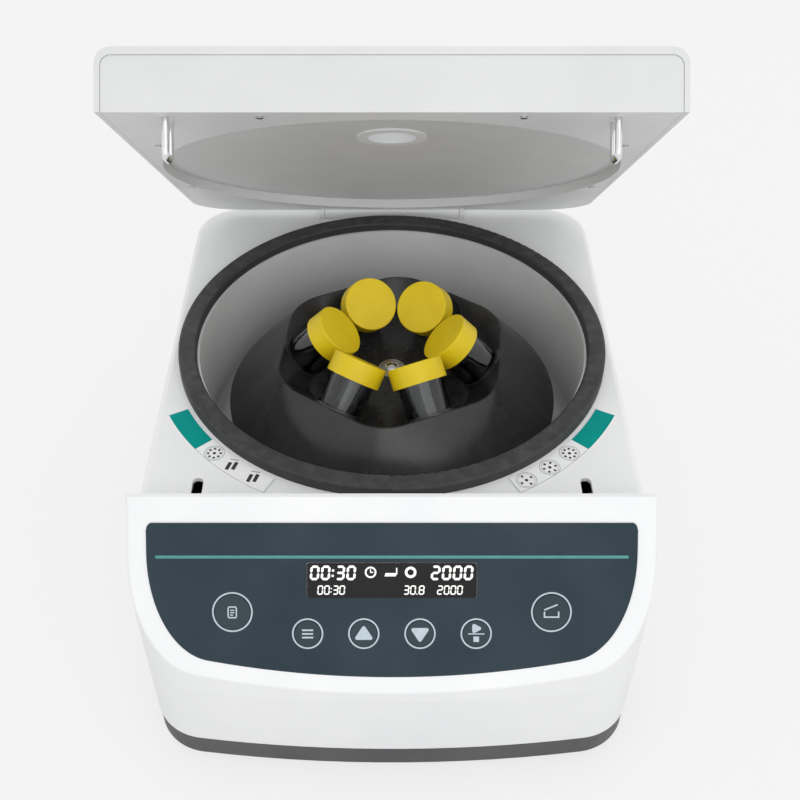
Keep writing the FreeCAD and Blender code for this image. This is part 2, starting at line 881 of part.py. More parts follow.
# Bowl: spun sheet with a flange on the deck, and the rubber gasket over it
def bowl():
    inner = s.bowl_radius
    thick = s.bowl_sheet
    flange = s.deck_height
    floor = gasket_top - s.bowl_depth
    curve = s.bowl_floor_round
    boss = floor + s.bowl_boss_rise
    profile = [
        (s.bowl_flange, flange), (s.bowl_flange, flange + thick), (inner, flange + thick),
        (inner, floor + curve), (inner - curve, floor), (s.bowl_boss_radius, floor),
        (s.bowl_boss_radius - s.bowl_boss_rise, boss), (s.shaft_hole, boss),
        (s.shaft_hole, boss - thick), (s.bowl_boss_radius - s.bowl_boss_rise - thick / 2, boss - thick),
        (s.bowl_boss_radius - thick / 2, floor - thick), (inner - curve, floor - thick),
        (inner + thick, floor + curve), (inner + thick, flange),
    ]
    keep(turned("bowl", profile, {3: -curve, 11: curve + thick}))
    low = s.deck_height + thick
    soft = s.gasket_round
    ring = [
        (s.gasket_inner, low), (s.bowl_flange + s.seat_gap, low),
        (s.bowl_flange + s.seat_gap, s.deck_height),
        (s.gasket_outer, s.deck_height), (s.gasket_outer, gasket_top - soft),
        (s.gasket_outer - soft, gasket_top),
        (s.gasket_inner + soft, gasket_top), (s.gasket_inner, gasket_top - soft),
    ]
    keep(turned("bowl_gasket", ring, {4: soft, 6: soft}))


def deck_labels():
    """Curved labels on the deck, in front of the bowl on the left and on the right."""
    for label, side in (("deck_label_left", -1), ("deck_label_right", 1)):
        body = new_body(label, y=s.bowl_y, z=s.deck_height)
        angles = [s.label_to, s.label_from] if side > 0 else [s.label_from, s.label_to]
        inner = s.gasket_outer + s.label_gap
        outer = inner + s.label_width
        near = [(side * outer * cosine(a), -outer * sine(a)) for a in angles]
        far = [(side * inner * cosine(a), -inner * sine(a)) for a in reversed(angles)]
        draw(new_sketch(body), near + far, {0: outer, 2: -inner})
        pad(body, body.Group[-1], s.label_thick)
        keep(body)


def hexagon(sketch, flat, corner):
    """A hexagon with rounded corners, its flats at a distance flat from the middle."""
    corners = []
    arcs = {}
    half_side = (flat - corner) * tangent(30)
    for index in range(6):
        angle = 60 * index
        for sign in (-1, 1):
            x = flat * cosine(angle) - sign * half_side * sine(angle)
            y = flat * sine(angle) + sign * half_side * cosine(angle)
            corners.append((x, y))
        arcs[2 * index + 1] = corner
    return draw(sketch, corners, arcs)


def divided_circle(sketch, flat, corner, radius):
    """A circle in twelve arcs, divided where the hexagon's corners begin and end."""
    half_side = (flat - corner) * tangent(30)
    reach = root(flat * flat + half_side * half_side)
    corners = []
    for index in range(6):
        angle = 60 * index
        for sign in (-1, 1):
            x = (flat * cosine(angle) - sign * half_side * sine(angle)) / reach * radius
            y = (flat * sine(angle) + sign * half_side * cosine(angle)) / reach * radius
            corners.append((x, y))
    return draw(sketch, corners, {index: radius for index in range(12)})


# Rotor: a hexagonal funnel with six slanting bores under a hood that runs out to a round skirt
def rotor():
    body = new_body("rotor_body", y=s.bowl_y, z=rim_height, yaw=s.rotor_turn)
    rim = hexagon(new_sketch(body), s.rotor_flat, s.rotor_rim_corner)
    edge = divided_circle(
        new_sketch(body, level=-s.hood_drop), s.rotor_flat, s.rotor_rim_corner, s.rotor_radius,
    )
    hood = body.newObject("PartDesign::AdditiveLoft", "hood")
    hood.Profile = rim
    hood.Sections = [edge]
    hood.Ruled = True
    skirt = draw_circle(new_sketch(body, level=-s.hood_drop), 0, 0, s.rotor_radius)
    pad(body, skirt, s.skirt_height, down=True)
    doc.recompute()
    # funnel with six facets square to the bores
    mouth = hexagon(new_sketch(body), s.rotor_flat - s.rim_land, s.rotor_rim_corner - s.rim_land)
    floor = hexagon(
        new_sketch(body, level=-s.funnel_depth), s.rotor_flat - s.rim_land - s.funnel_depth,
        s.rotor_rim_corner - s.rim_land - s.funnel_depth,
    )
    funnel = body.newObject("PartDesign::SubtractiveLoft", "funnel")
    funnel.Profile = mouth
    funnel.Sections = [floor]
    funnel.Ruled = True
    doc.recompute()
    # hollow underneath, between the hub and the wall below the bores
    bottom = -s.hood_drop - s.skirt_height
    hollow_low = s.hollow_outer + (-s.hollow_top - bottom)
    hollow = new_sketch(body, "XZ_Plane")
    draw(hollow, [
        (s.hub_radius, -s.hollow_top), (s.hub_radius, bottom - s.overcut),
        (hollow_low + s.overcut, bottom - s.overcut), (s.hollow_outer, -s.hollow_top),
    ])
    revolve(body, hollow, cut=True)
    # collars and bores, each drawn once on its slanting axis and repeated round the rotor
    pivot_up = s.rotor_rim_drop - s.pivot_drop
    flat_reach = (s.rotor_flat - s.rim_land + pivot_up - s.pivot_radius) * cosine(s.bore_tilt)
    collar = new_sketch(body, "XZ_Plane", right=s.pivot_radius, up=pivot_up, turn=s.bore_tilt)
    draw_box(collar, 0, s.collar_radius, -flat_reach - 2, s.collar_rise - flat_reach)
    ring_pattern(body, revolve(body, collar), 6)
    doc.recompute()
    bore = new_sketch(body, "XZ_Plane", right=s.pivot_radius, up=pivot_up, turn=s.bore_tilt)
    draw(bore, [
        (0, -s.bore_end), (s.bore_tip_radius, -s.bore_end), (s.bore_radius, -s.bore_straight),
        (s.bore_radius, 4 * s.collar_rise - flat_reach), (0, 4 * s.collar_rise - flat_reach),
    ])
    ring_pattern(body, revolve(body, bore, cut=True), 6)
    doc.recompute()
    seat = draw_circle(new_sketch(body), 0, 0, s.bush_radius)
    pocket(body, seat, both=True)
    keep(body)


# Hub bush, shaft and the nut that holds the rotor
def drive_line():
    top = rim_height - s.funnel_depth
    low = rim_height - s.hood_drop - s.skirt_height
    bush = turned("rotor_hub", [
        (s.shaft_radius, low), (s.bush_radius, low), (s.bush_radius, top), (s.shaft_radius, top),
    ])
    keep(bush)
    shaft = turned("drive_shaft", [
        (0, top - s.shaft_length), (s.shaft_radius, top - s.shaft_length), (s.shaft_radius, top), (0, top),
    ])
    keep(shaft)
    crown = top + s.nut_rise
    bevel = s.nut_rise / 2
    nut = new_body("rotor_nut", y=s.bowl_y, z=top, yaw=s.rotor_turn)
    draw(new_sketch(nut), [
        (s.nut_corner * cosine(60 * k), s.nut_corner * sine(60 * k)) for k in range(6)
    ])
    pad(nut, nut.Group[-1], bevel)
    dome = draw(new_sketch(nut, "XZ_Plane"), [
        (0, 0), (s.nut_radius, 0), (s.nut_radius, bevel), (0, crown - top),
    ], {2: s.nut_radius * 2})
    revolve(nut, dome)
    keep(nut)


def tubes_and_caps():
    """Six tubes with their screw caps, drawn on their own axes from the point where they pivot."""
    shoulder = -s.tube_shoulder
    tip = -s.tube_tip
    cap_top = s.cap_height / 2
    mouth = cap_top - s.cap_roof
    inside = s.tube_radius - s.tube_wall
    inner_tip = s.tube_tip_radius - s.tube_wall
    tube_profile = [
        (0, tip), (s.tube_tip_radius, tip), (s.tube_radius, shoulder), (s.tube_radius, mouth),
        (inside, mouth), (inside, shoulder + s.tube_wall / 2), (inner_tip, tip + s.tube_wall),
        (0, tip + s.tube_wall),
    ]
    bore = s.tube_radius + s.running_gap
    cap_profile = [
        (0, mouth), (bore, mouth), (bore, -cap_top), (s.cap_radius, -cap_top),
        (s.cap_radius, cap_top - s.cap_round), (s.cap_radius - s.cap_round, cap_top), (0, cap_top),
    ]
    for kind, profile, arcs in (("tube", tube_profile, None), ("cap", cap_profile, {4: s.cap_round})):
        for index in range(6):
            angle = s.rotor_turn + 60 * index
            body = new_body(
                "%s_%d" % (kind, index + 1),
                x=s.pivot_radius * cosine(angle), y=s.bowl_y + s.pivot_radius * sine(angle),
                z=gasket_top - s.pivot_drop, yaw=angle, pitch=-s.bore_tilt,
            )
            revolve(body, draw(new_sketch(body, "XZ_Plane"), profile, arcs))
            keep(body)


# Lid: an outer shell and a tray inside it, both drawn closed and hung open on the hinge axis
def dome_profile(sketch, thicker=0):
    """Half section of the room over the bowl: a step for the gasket under a shallow dome."""
    low = lid_rim - s.overcut
    land = s.gasket_rise + s.seal_gap - s.pivot_rise + thicker
    edge = s.land_inner + thicker
    ceiling = lid_ceiling + thicker
    rise = ceiling - land
    dome = (edge * edge / rise + rise) / 2
    return draw(sketch, [
        (0, low), (s.recess_radius + thicker, low), (s.recess_radius + thicker, land),
        (edge, land), (0, ceiling),
    ], {3: dome})


def lid_openings(label, level, radius):
    """What is cut out of the shell and the tray: the place of the hinge, and the port from level up."""
    body = lid_body(label)
    lug = new_sketch(body, level=lid_rim - s.overcut)
    draw_box(lug, -notch_half, notch_half, -s.lug_depth - s.seat_gap, 2 * s.lug_depth)
    pad(body, lug, s.lug_top + s.seat_gap - lid_rim + s.overcut)
    port = new_sketch(body, level=level)
    draw_circle(port, 0, -s.pivot_y, radius + s.running_gap)
    pad(body, port, lid_rim + s.lid_height + s.overcut - level)
    return body


def lid_shell():
    rear = s.lid_rear - s.pivot_y
    front = s.pivot_y + s.lid_front
    spare = 2 * s.lid_round
    outer = lid_body("shell_outer")
    plan = new_sketch(outer, level=lid_rim)
    draw_plan(plan, s.half_width, rear, front + spare, s.lid_corner)
    pad(outer, plan, s.lid_height)
    round_edges(outer, s.lid_round, lambda edge: sloping_top(edge, lid_rim + s.lid_height, front))
    # the rounded form is cut off flat at the front
    trim = new_sketch(outer, level=lid_rim + s.lid_height + s.overcut)
    draw_box(trim, -s.half_width - s.overcut, s.half_width + s.overcut, -front - 2 * spare, -front)
    pocket(outer, trim)
    inner = lid_body("shell_inner")
    room = new_sketch(inner, level=lid_rim - s.overcut)
    draw_plan(room, s.half_width - s.lid_wall, rear - s.lid_wall, front + spare, s.lid_corner - s.lid_wall)
    pad(inner, room, s.lid_height - s.lid_roof + s.overcut)
    roof = lid_rim + s.lid_height - s.lid_roof
    round_edges(inner, s.lid_round - s.lid_wall, lambda edge: sloping_top(edge, roof, front))
    holes = lid_openings("shell_holes", roof - s.overcut, s.port_barrel)
    keep(cut(cut(outer, inner), holes), "lid_shell")


def sloping_top(edge, height, front):
    """Whether an edge lies at the height and reaches further back than the lid's front."""
    return at_height(edge, height) and edge.BoundBox.YMax > float(s.overcut - front)


def lid_liner():
    gap = s.lid_wall + s.liner_gap
    top = s.lid_height - s.lid_roof - s.liner_gap
    front = s.pivot_y + s.lid_front - s.liner_setback
    rear = s.lid_rear - s.pivot_y - gap
    block = lid_body("liner_block")
    plan = new_sketch(block, level=lid_rim)
    draw_plan(plan, s.half_width - gap, rear, front, s.lid_corner - gap)
    pad(block, plan, top)
    round_edges(block, s.lid_round - gap, lambda edge: sloping_top(edge, lid_rim + top, front))
    room = lid_body("liner_room", y=-s.pivot_y)
    revolve(room, dome_profile(new_sketch(room, "XZ_Plane")))
    # the tray is a thin moulding: the space above its floor and dome is empty
    wall = s.liner_wall
    inside = lid_body("liner_inside")
    hollow = new_sketch(inside, level=lid_rim + wall)
    inset = gap + wall
    draw_plan(hollow, s.half_width - inset, rear - wall - s.lug_depth, front - wall, s.lid_corner - inset)
    pad(inside, hollow, top)
    dome = lid_body("liner_dome", y=-s.pivot_y)
    revolve(dome, dome_profile(new_sketch(dome, "XZ_Plane"), wall))
    holes = lid_openings("liner_holes", lid_rim, s.port_radius)
    tray = cut(cut(block, room), cut(inside, dome))
    screws = lid_body("liner_screw_holes")
    drill = new_sketch(screws, level=lid_rim - s.overcut)
    for x, y in screw_places():
        draw_circle(drill, x, y, s.screw_shank + s.running_gap)
    for x in (-s.striker_x, s.striker_x):
        for y in striker_legs():
            draw_circle(drill, x, y, s.striker_rod / 2 + s.running_gap)
    pad(screws, drill, s.screw_length + s.overcut)
    keep(cut(cut(tray, holes), screws), "lid_liner")


def screw_places():
    """Places of the tray's screws: two in front, two at mid side and two towards the rear."""
    rows = [
        (s.front_screw_x, s.front_screw_inset - s.lid_front),
        (s.half_width - s.side_screw_inset, -s.side_screw_y),
        (s.half_width - s.rear_screw_inset, s.rear_screw_y),
    ]
    return [(sign * x, y - s.pivot_y) for x, y in rows for sign in (-1, 1)]


def lid_fittings():
    rim = lid_rim
    lug = lid_body("lid_hinge_arm")
    knuckle = s.knuckle_radius
    side = new_sketch(lug, "YZ_Plane")
    draw(side, [
        (-s.lug_depth, s.lug_top), (-s.lug_depth, rim), (-knuckle, 0), (0, -knuckle), (knuckle, 0),
        (knuckle, knuckle / 2), (s.lug_rear, s.lug_top),
    ], {2: knuckle, 3: knuckle})
    pad(lug, side, 2 * s.lug_half_width, both=True)
    bore = draw_circle(new_sketch(lug, "YZ_Plane"), 0, 0, s.hinge_pin_radius + s.running_gap)
    pocket(lug, bore, both=True)
    keep(lug)
    # sight port: a ring through tray and shell with a window in its top
    top = rim + s.lid_height
    step = top - s.lid_roof - s.seat_gap
    low = lid_ceiling - s.port_drop
    sill = top - s.window_thick
    ring = lid_body("sight_port_ring", y=-s.pivot_y)
    revolve(ring, draw(new_sketch(ring, "XZ_Plane"), [
        (s.port_hole, low), (s.port_radius, low), (s.port_radius, step), (s.port_barrel, step),
        (s.port_barrel, top), (s.port_hole + s.port_lip, top), (s.port_hole + s.port_lip, sill),
        (s.port_hole, sill),
    ]))
    keep(ring)
    window = lid_body("sight_window", y=-s.pivot_y)
    pane = s.port_hole + s.port_lip - s.running_gap
    revolve(window, draw(new_sketch(window, "XZ_Plane"), [
        (0, sill), (pane, sill), (pane, top), (0, top),
    ]))
    keep(window)
    for label, side in (("striker_left", -1), ("striker_right", 1)):
        striker(label, side * s.striker_x)
    heads = lid_body("liner_screws")
    crowns = new_sketch(heads, level=rim)
    shanks = new_sketch(heads, level=rim)
    for x, y in screw_places():
        draw_circle(crowns, x, y, s.screw_head)
        draw_circle(shanks, x, y, s.screw_shank)
    pad(heads, crowns, s.screw_head_thick, down=True)
    pad(heads, shanks, s.screw_length - s.overcut)
    keep(heads)


def striker_legs():
    """Places of a striker's two legs behind the hinge axis, front one first."""
    front = s.striker_rod / 2 - s.striker_front - s.pivot_y
    return [front, front + s.striker_pitch]


def striker(label, x):
    """A bent rod: two legs hang from the tray and a cross bar joins them below the rim."""
    body = lid_body(label, x=x)
    top = lid_rim + s.liner_wall
    front, back = striker_legs()
    low = lid_rim - s.striker_reach + s.striker_rod / 2
    bend = s.striker_bend
    path = body.newObject("Sketcher::SketchObject", "path")
    path.AttachmentSupport = [(plane_of(body, "YZ_Plane"), "")]
    path.MapMode = "FlatFace"
    corners = [
        (front, top), (front, low + bend), (front + bend, low),
        (back - bend, low), (back, low + bend), (back, top),
    ]
    draw_path(path, corners, {1: bend, 3: bend})
    profile = new_sketch(body, "XY_Plane", level=top, up=front)
    draw_circle(profile, 0, 0, s.striker_rod / 2)
    rod = body.newObject("PartDesign::AdditivePipe", "rod")
    rod.Profile = profile
    rod.Spine = (path, ["Edge%d" % index for index in range(1, 6)])
    keep(body)


def draw_path(sketch, corners, arcs):
    """An open path through corners, with the arcs' radii as in draw."""
    points = [V(float(x), float(y), 0) for x, y in corners]
    for index in range(len(points) - 1):
        if index in arcs:
            sketch.addGeometry(arc_between(points[index], points[index + 1], arcs[index]), False)
        else:
            sketch.addGeometry(Part.LineSegment(points[index], points[index + 1]), False)
    for index in range(len(points) - 2):
        sketch.addConstraint(Sketcher.Constraint("Coincident", index, 2, index + 1, 1))
    for index, (x, y) in enumerate(corners):
        place = (index, 1) if index < len(points) - 1 else (index - 1, 2)
        dimension(sketch, "DistanceX", -1, 1, *place, x)
        dimension(sketch, "DistanceY", -1, 1, *place, y)
    for index, radius in arcs.items():
        dimension(sketch, "Radius", index, radius)


# Hinge: a bracket with two ears in the notch, and the pin through the lug
def hinge():
    half = s.lug_half_width + s.seat_gap
    bracket = new_body("hinge_bracket", y=s.bowl_y + s.pivot_y, z=pivot_height)
    thick = s.bracket_thick
    low = -s.notch_depth
    front = s.seat_gap - s.notch_front
    rear = s.rear_edge - s.pivot_y
    plate = new_sketch(bracket, level=low)
    draw_box(plate, -half - s.ear_thick, half + s.ear_thick, front, rear)
    pad(bracket, plate, thick)
    knuckle = s.knuckle_radius
    for side in (-1, 1):
        start = half if side > 0 else -half - s.ear_thick
        ear = new_sketch(bracket, "YZ_Plane", level=start)
        draw(ear, [
            (front, low + thick / 2), (rear, low + thick / 2), (knuckle, 0), (0, knuckle), (-knuckle, 0),
        ], {2: knuckle, 3: knuckle})
        pad(bracket, ear, s.ear_thick)
    bore = draw_circle(new_sketch(bracket, "YZ_Plane"), 0, 0, s.hinge_pin_radius)
    pocket(bracket, bore, both=True)
    keep(bracket)
    pin = new_body("hinge_pin", y=s.bowl_y + s.pivot_y, z=pivot_height)
    draw_circle(new_sketch(pin, "YZ_Plane"), 0, 0, s.hinge_pin_radius)
    pad(pin, pin.Group[-1], 2 * (half + s.ear_thick), both=True)
    keep(pin)


# Latch: two bolts slide sideways through the windows of the strikers, each drawn by a solenoid
def latch():
    bolt_z = deck_under - s.bolt_drop
    bolt_y = s.bowl_y + s.striker_rod / 2 - s.striker_front + s.striker_pitch / 2
    wide = s.solenoid_wide
    tall = s.solenoid_tall
    for name, side in (("left", -1), ("right", 1)):
        yaw = 90 - 90 * side
        bolt = new_body("latch_bolt_" + name, x=side * bolt_rest, y=bolt_y, z=bolt_z, yaw=yaw)
        nose = s.bolt_radius / 2
        half = draw(new_sketch(bolt, "YZ_Plane", level=-s.bolt_length), [
            (s.bolt_radius, 0), (0, s.bolt_radius), (-s.bolt_radius, 0), (0, -s.bolt_radius),
        ], {index: s.bolt_radius for index in range(4)})
        pad(bolt, half, s.bolt_length)
        doc.recompute()
        tip = bolt.Tip
        ends = [
            "Edge%d" % number for number, edge in enumerate(tip.Shape.Edges, 1)
            if abs(edge.BoundBox.XMin) < 1e-4 and abs(edge.BoundBox.XMax) < 1e-4
        ]
        bevel = bolt.newObject("PartDesign::Chamfer", "nose")
        bevel.Base = (tip, ends)
        bind(bevel, "Size", nose)
        keep(bolt)
        coil = new_body("latch_solenoid_" + name, x=side * s.solenoid_x, y=bolt_y, z=bolt_z, yaw=yaw)
        draw_box(new_sketch(coil, "YZ_Plane"), -wide / 2, wide / 2, -tall / 2, tall / 2)
        pad(coil, coil.Group[-1], s.solenoid_length)
        well = draw_circle(new_sketch(coil, "YZ_Plane"), 0, 0, s.bolt_radius + s.running_gap)
        pocket(coil, well, both=True)
        keep(coil)
    rail = new_body("latch_bracket", y=bolt_y, z=bolt_z)
    sheet_low = -tall / 2 - s.latch_sheet
    reach = bolt_rest - s.bolt_travel / 2
    draw_box(new_sketch(rail, level=sheet_low), -reach, reach, -wide / 2, wide / 2)
    pad(rail, rail.Group[-1], s.latch_sheet)
    guides = new_sketch(rail, "XY_Plane", level=sheet_low)
    for side in (-1, 1):
        ends = sorted([side * reach, side * (reach - s.latch_sheet)], key=float)
        draw_box(guides, ends[0], ends[1], -wide / 2, wide / 2)
    pad(rail, guides, s.bolt_drop - sheet_low)
    holes = draw_circle(new_sketch(rail, "YZ_Plane"), 0, 0, s.bolt_radius + s.running_gap)
    pocket(rail, holes, both=True)
    keep(rail)


# Drive: a motor hung in a plate that stands on four rubber dampers
def drive():
    seat = base_floor + s.damper_height
    dampers = new_body("motor_dampers", y=s.bowl_y, z=base_floor)
    rounds = new_sketch(dampers)
    for index in range(4):
        angle = 45 + 90 * index
        draw_circle(rounds, s.damper_circle * cosine(angle), s.damper_circle * sine(angle), s.damper_radius)
    pad(dampers, rounds, s.damper_height)
    keep(dampers)
    mount = new_body("motor_mount", y=s.bowl_y, z=seat)
    plate = draw_circle(new_sketch(mount), 0, 0, s.mount_radius)
    pad(mount, plate, s.mount_sheet)
    hole = draw_circle(new_sketch(mount), 0, 0, s.motor_radius + s.seat_gap)
    pocket(mount, hole, both=True)
    keep(mount)
    flange = seat + s.mount_sheet
    low = seat - s.motor_below
    nose = gasket_top - s.bowl_depth + s.bowl_boss_rise - s.bowl_sheet - s.motor_top_gap
    top = nose - s.motor_nose
    shaft_low = rim_height - s.funnel_depth - s.shaft_length
    bore = s.shaft_radius + s.running_gap
    soft = s.motor_nose
    motor = turned("motor_housing", [
        (0, low), (s.motor_radius - soft, low), (s.motor_radius, low + soft), (s.motor_radius, flange),
        (s.motor_flange, flange), (s.motor_flange, flange + s.motor_flange_thick),
        (s.motor_radius, flange + s.motor_flange_thick), (s.motor_radius, top - soft),
        (s.motor_radius - soft, top), (s.motor_nose_radius, top), (s.motor_nose_radius, nose), (bore, nose),
        (bore, shaft_low - s.seat_gap), (0, shaft_low - s.seat_gap),
    ], {1: soft, 7: soft})
    keep(motor)


# Power inlet with three pins, the switch frame and its rocker, on the rear wall
def connections():
    face = s.bowl_y + s.rear_edge
    inlet = new_body("power_inlet", x=s.inlet_x, y=face, z=s.connector_height)
    thick = s.inlet_flange_thick
    flange = new_sketch(inlet, "XZ_Plane", level=-thick)
    half = s.inlet_flange_width / 2
    draw_box(flange, -half, half, -s.inlet_flange_tall / 2, s.inlet_flange_tall / 2, thick)
    pad(inlet, flange, thick)
    barrel = new_sketch(inlet, "XZ_Plane", level=-thick)
    bevel = s.inlet_tall / 4

    def socket(sketch, inset):
        wide = s.inlet_width / 2 - inset
        low = inset - s.inlet_tall / 2
        high = s.inlet_tall / 2 - inset
        return draw(sketch, [
            (-wide, low), (wide, low), (wide, high - bevel), (wide - bevel, high),
            (bevel - wide, high), (-wide, high - bevel),
        ])

    pad(inlet, socket(barrel, 0), s.inlet_depth + thick)
    room = socket(new_sketch(inlet, "XZ_Plane", level=-thick), s.inlet_wall)
    pocket(inlet, room, s.inlet_cavity, up=True)
    pins = new_sketch(inlet, "XZ_Plane", level=s.inlet_cavity - thick - s.pin_length)
    pitch = s.inlet_width / 4
    half_pin = s.pin_width / 2
    for x, z in ((-pitch, -s.inlet_wall), (0, 1.5 * s.inlet_wall), (pitch, -s.inlet_wall)):
        draw_box(pins, x - half_pin, x + half_pin, z - s.pin_tall / 2, z + s.pin_tall / 2)
    pad(inlet, pins, s.pin_length + s.inlet_wall)
    keep(inlet)
    frame = new_body("switch_frame", x=s.switch_x, y=face, z=s.connector_height)
    wide = s.switch_width / 2
    tall = s.switch_height / 2
    bezel = s.switch_bezel_thick
    draw_box(
        new_sketch(frame, "XZ_Plane", level=-bezel), -wide - s.switch_bezel, wide + s.switch_bezel,
        -tall - s.switch_bezel, tall + s.switch_bezel, s.switch_bezel,
    )
    pad(frame, frame.Group[-1], bezel)
    draw_box(new_sketch(frame, "XZ_Plane"), -wide, wide, -tall, tall)
    pad(frame, frame.Group[-1], s.switch_depth)
    wall = s.switch_frame_wall
    well = new_sketch(frame, "XZ_Plane", level=-bezel)
    draw_box(well, wall - wide, wide - wall, wall - tall, tall - wall)
    pocket(frame, well, s.switch_depth + bezel - wall, up=True)
    keep(frame)
    rocker = new_body("rocker", x=s.switch_x, y=face, z=s.connector_height, yaw=-s.rocker_swing)
    reach = wide - wall - s.seat_gap
    drop = reach * tangent(s.rocker_swing)
    rock = new_sketch(rocker)
    draw(rock, [
        (drop - reach, 0), (0, -s.switch_depth / 2), (reach - drop, 0), (reach - drop / 2, bezel + drop),
        (0, bezel), (drop / 2 - reach, bezel + drop),
    ])
    pad(rocker, rock, 2 * (tall - wall - s.seat_gap), both=True)
    keep(rocker)


# Power board on the base, with its transformer and two capacitors
def power_board():
    wide = s.power_board_width / 2
    long = s.power_board_length / 2
    wall = s.band_inset + s.floor_wall + s.power_board_gap
    body = new_body("power_board", x=wide + wall - s.half_width, y=s.bowl_y, z=base_floor)
    rise = s.power_board_rise
    draw_box(new_sketch(body, level=rise), -wide, wide, -long, long)
    pad(body, body.Group[-1], s.board_thick)
    posts = new_sketch(body)
    for x in (-wide + s.foot_boss, wide - s.foot_boss):
        for y in (-long + s.foot_boss, long - s.foot_boss):
            draw_circle(posts, x, y, s.board_boss_radius)
    pad(body, posts, rise + s.board_thick / 2)
    core = new_sketch(body, level=rise + s.board_thick / 2)
    core_wide = s.transformer_width / 2
    core_long = s.transformer_length / 2
    draw_box(core, -core_wide, core_wide, -long / 2 - core_long, core_long - long / 2)
    pad(body, core, s.transformer_tall)
    cans = new_sketch(body, level=rise + s.board_thick / 2)
    draw_circle(cans, -wide / 3, long / 4, s.capacitor_radius)
    draw_circle(cans, wide / 3, 2 * long / 3, s.small_capacitor_radius)
    pad(body, cans, s.capacitor_tall)
    keep(body)


def feet():
    """Four rubber feet, each held up into the base by a screw in its recess."""
    rubber = new_body("rubber_feet", y=s.bowl_y)
    discs = new_sketch(rubber)
    recess = new_sketch(rubber)
    bores = new_sketch(rubber)
    screws = new_body("foot_screws", y=s.bowl_y)
    deep = s.foot_height - s.foot_screw_head_thick - s.foot_web
    heads = new_sketch(screws, level=deep)
    shanks = new_sketch(screws, level=deep)
    for x in (-foot_x, foot_x):
        for y in (-s.foot_front, s.foot_rear):
            draw_circle(discs, x, y, s.foot_radius)
            draw_circle(recess, x, y, s.foot_recess)
            draw_circle(bores, x, y, s.foot_screw_shank + s.running_gap)
            draw_circle(heads, x, y, s.foot_screw_head)
            draw_circle(shanks, x, y, s.foot_screw_shank)
    pad(rubber, discs, s.foot_height)
    pocket(rubber, recess, deep + s.foot_screw_head_thick, up=True)
    pocket(rubber, bores, both=True)
    keep(rubber)
    pad(screws, heads, s.foot_screw_head_thick)
    pad(screws, shanks, s.foot_height - deep + s.foot_screw_length - s.overcut)
    keep(screws)


for build in (
    base_pan, upper_housing, front_housing, control_panel, display, control_board, keys, bowl, deck_labels,
    rotor, drive_line, tubes_and_caps, lid_shell, lid_liner, lid_fittings, hinge, latch, drive, connections,
    power_board, feet,
):
    build()

doc.recompute()
for item in doc.Objects:
    if "Invalid" in item.State or "Error" in item.State:
        raise RuntimeError("%s (%s) failed: %s" % (item.Label, item.Name, item.State))
for node in nodes:
    if node.Shape.isNull() or not node.Shape.isValid():
        raise RuntimeError("%s has no valid shape" % node.Label)
for node in nodes:
    node.Shape.exportStep("parts/%s.step" % node.Label)
    print("%-22s %2d solid(s) %10.1f mm3" % (node.Label, len(node.Shape.Solids), node.Shape.Volume))
print(len(nodes), "nodes")
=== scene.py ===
# %% [markdown]
# A bench centrifuge for small tubes of blood, with its lid open.
# The engineering model comes in as a fixed frame: every moulding, key, tube and screw is already there.
# What is left to do here is what the eye reads: the finish of each plastic and metal, the print on the
# control panel and on the deck, the glow of the display, and the light of a small photo studio.

# %% Load the frame
import json
import math

import bmesh
import bpy
from mathutils import Matrix, Vector


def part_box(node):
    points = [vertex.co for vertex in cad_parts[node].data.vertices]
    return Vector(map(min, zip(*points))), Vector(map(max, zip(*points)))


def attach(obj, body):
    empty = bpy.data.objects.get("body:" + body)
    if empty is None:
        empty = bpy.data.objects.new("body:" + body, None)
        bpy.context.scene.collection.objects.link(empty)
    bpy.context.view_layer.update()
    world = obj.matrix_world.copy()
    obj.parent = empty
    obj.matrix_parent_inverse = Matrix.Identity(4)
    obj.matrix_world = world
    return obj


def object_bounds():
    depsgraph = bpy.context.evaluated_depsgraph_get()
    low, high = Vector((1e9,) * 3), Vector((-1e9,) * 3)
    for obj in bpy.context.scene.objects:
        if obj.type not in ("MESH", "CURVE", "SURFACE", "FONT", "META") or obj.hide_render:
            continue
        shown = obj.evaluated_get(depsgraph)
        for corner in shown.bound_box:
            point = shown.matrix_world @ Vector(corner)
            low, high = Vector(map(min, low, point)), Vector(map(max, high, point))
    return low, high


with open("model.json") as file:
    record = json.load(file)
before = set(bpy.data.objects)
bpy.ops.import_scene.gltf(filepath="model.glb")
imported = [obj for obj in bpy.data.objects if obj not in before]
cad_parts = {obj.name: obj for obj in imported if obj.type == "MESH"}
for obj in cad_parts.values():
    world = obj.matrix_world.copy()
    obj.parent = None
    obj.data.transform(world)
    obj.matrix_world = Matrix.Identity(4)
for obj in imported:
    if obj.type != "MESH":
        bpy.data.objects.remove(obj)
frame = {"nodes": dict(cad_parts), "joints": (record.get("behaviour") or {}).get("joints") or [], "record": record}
cad_low, cad_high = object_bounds()
nodes = frame["nodes"]
joints = {joint["name"]: joint for joint in frame["joints"]}

# %% [markdown]
# The camera stands a little over half a metre in front of the bowl and looks down at the rotor.
# The lens is a normal one used from close by, so the raised lid looks wider than the deck below it.
# A small shift moves the picture sideways without turning the camera, so that upright lines stay upright.

# %% Camera
MM = 0.001
BOWL_AXIS = Vector(joints["rotor_spin"]["pos_m"]).xy
EYE_BACK = 563.3 * MM
EYE_ABOVE_GASKET = 462.0 * MM
LOOK_DOWN = math.radians(42.76)
SENSOR_WIDTH = 36.0
LENS = 50.85
SIDE_SHIFT = 0.0101

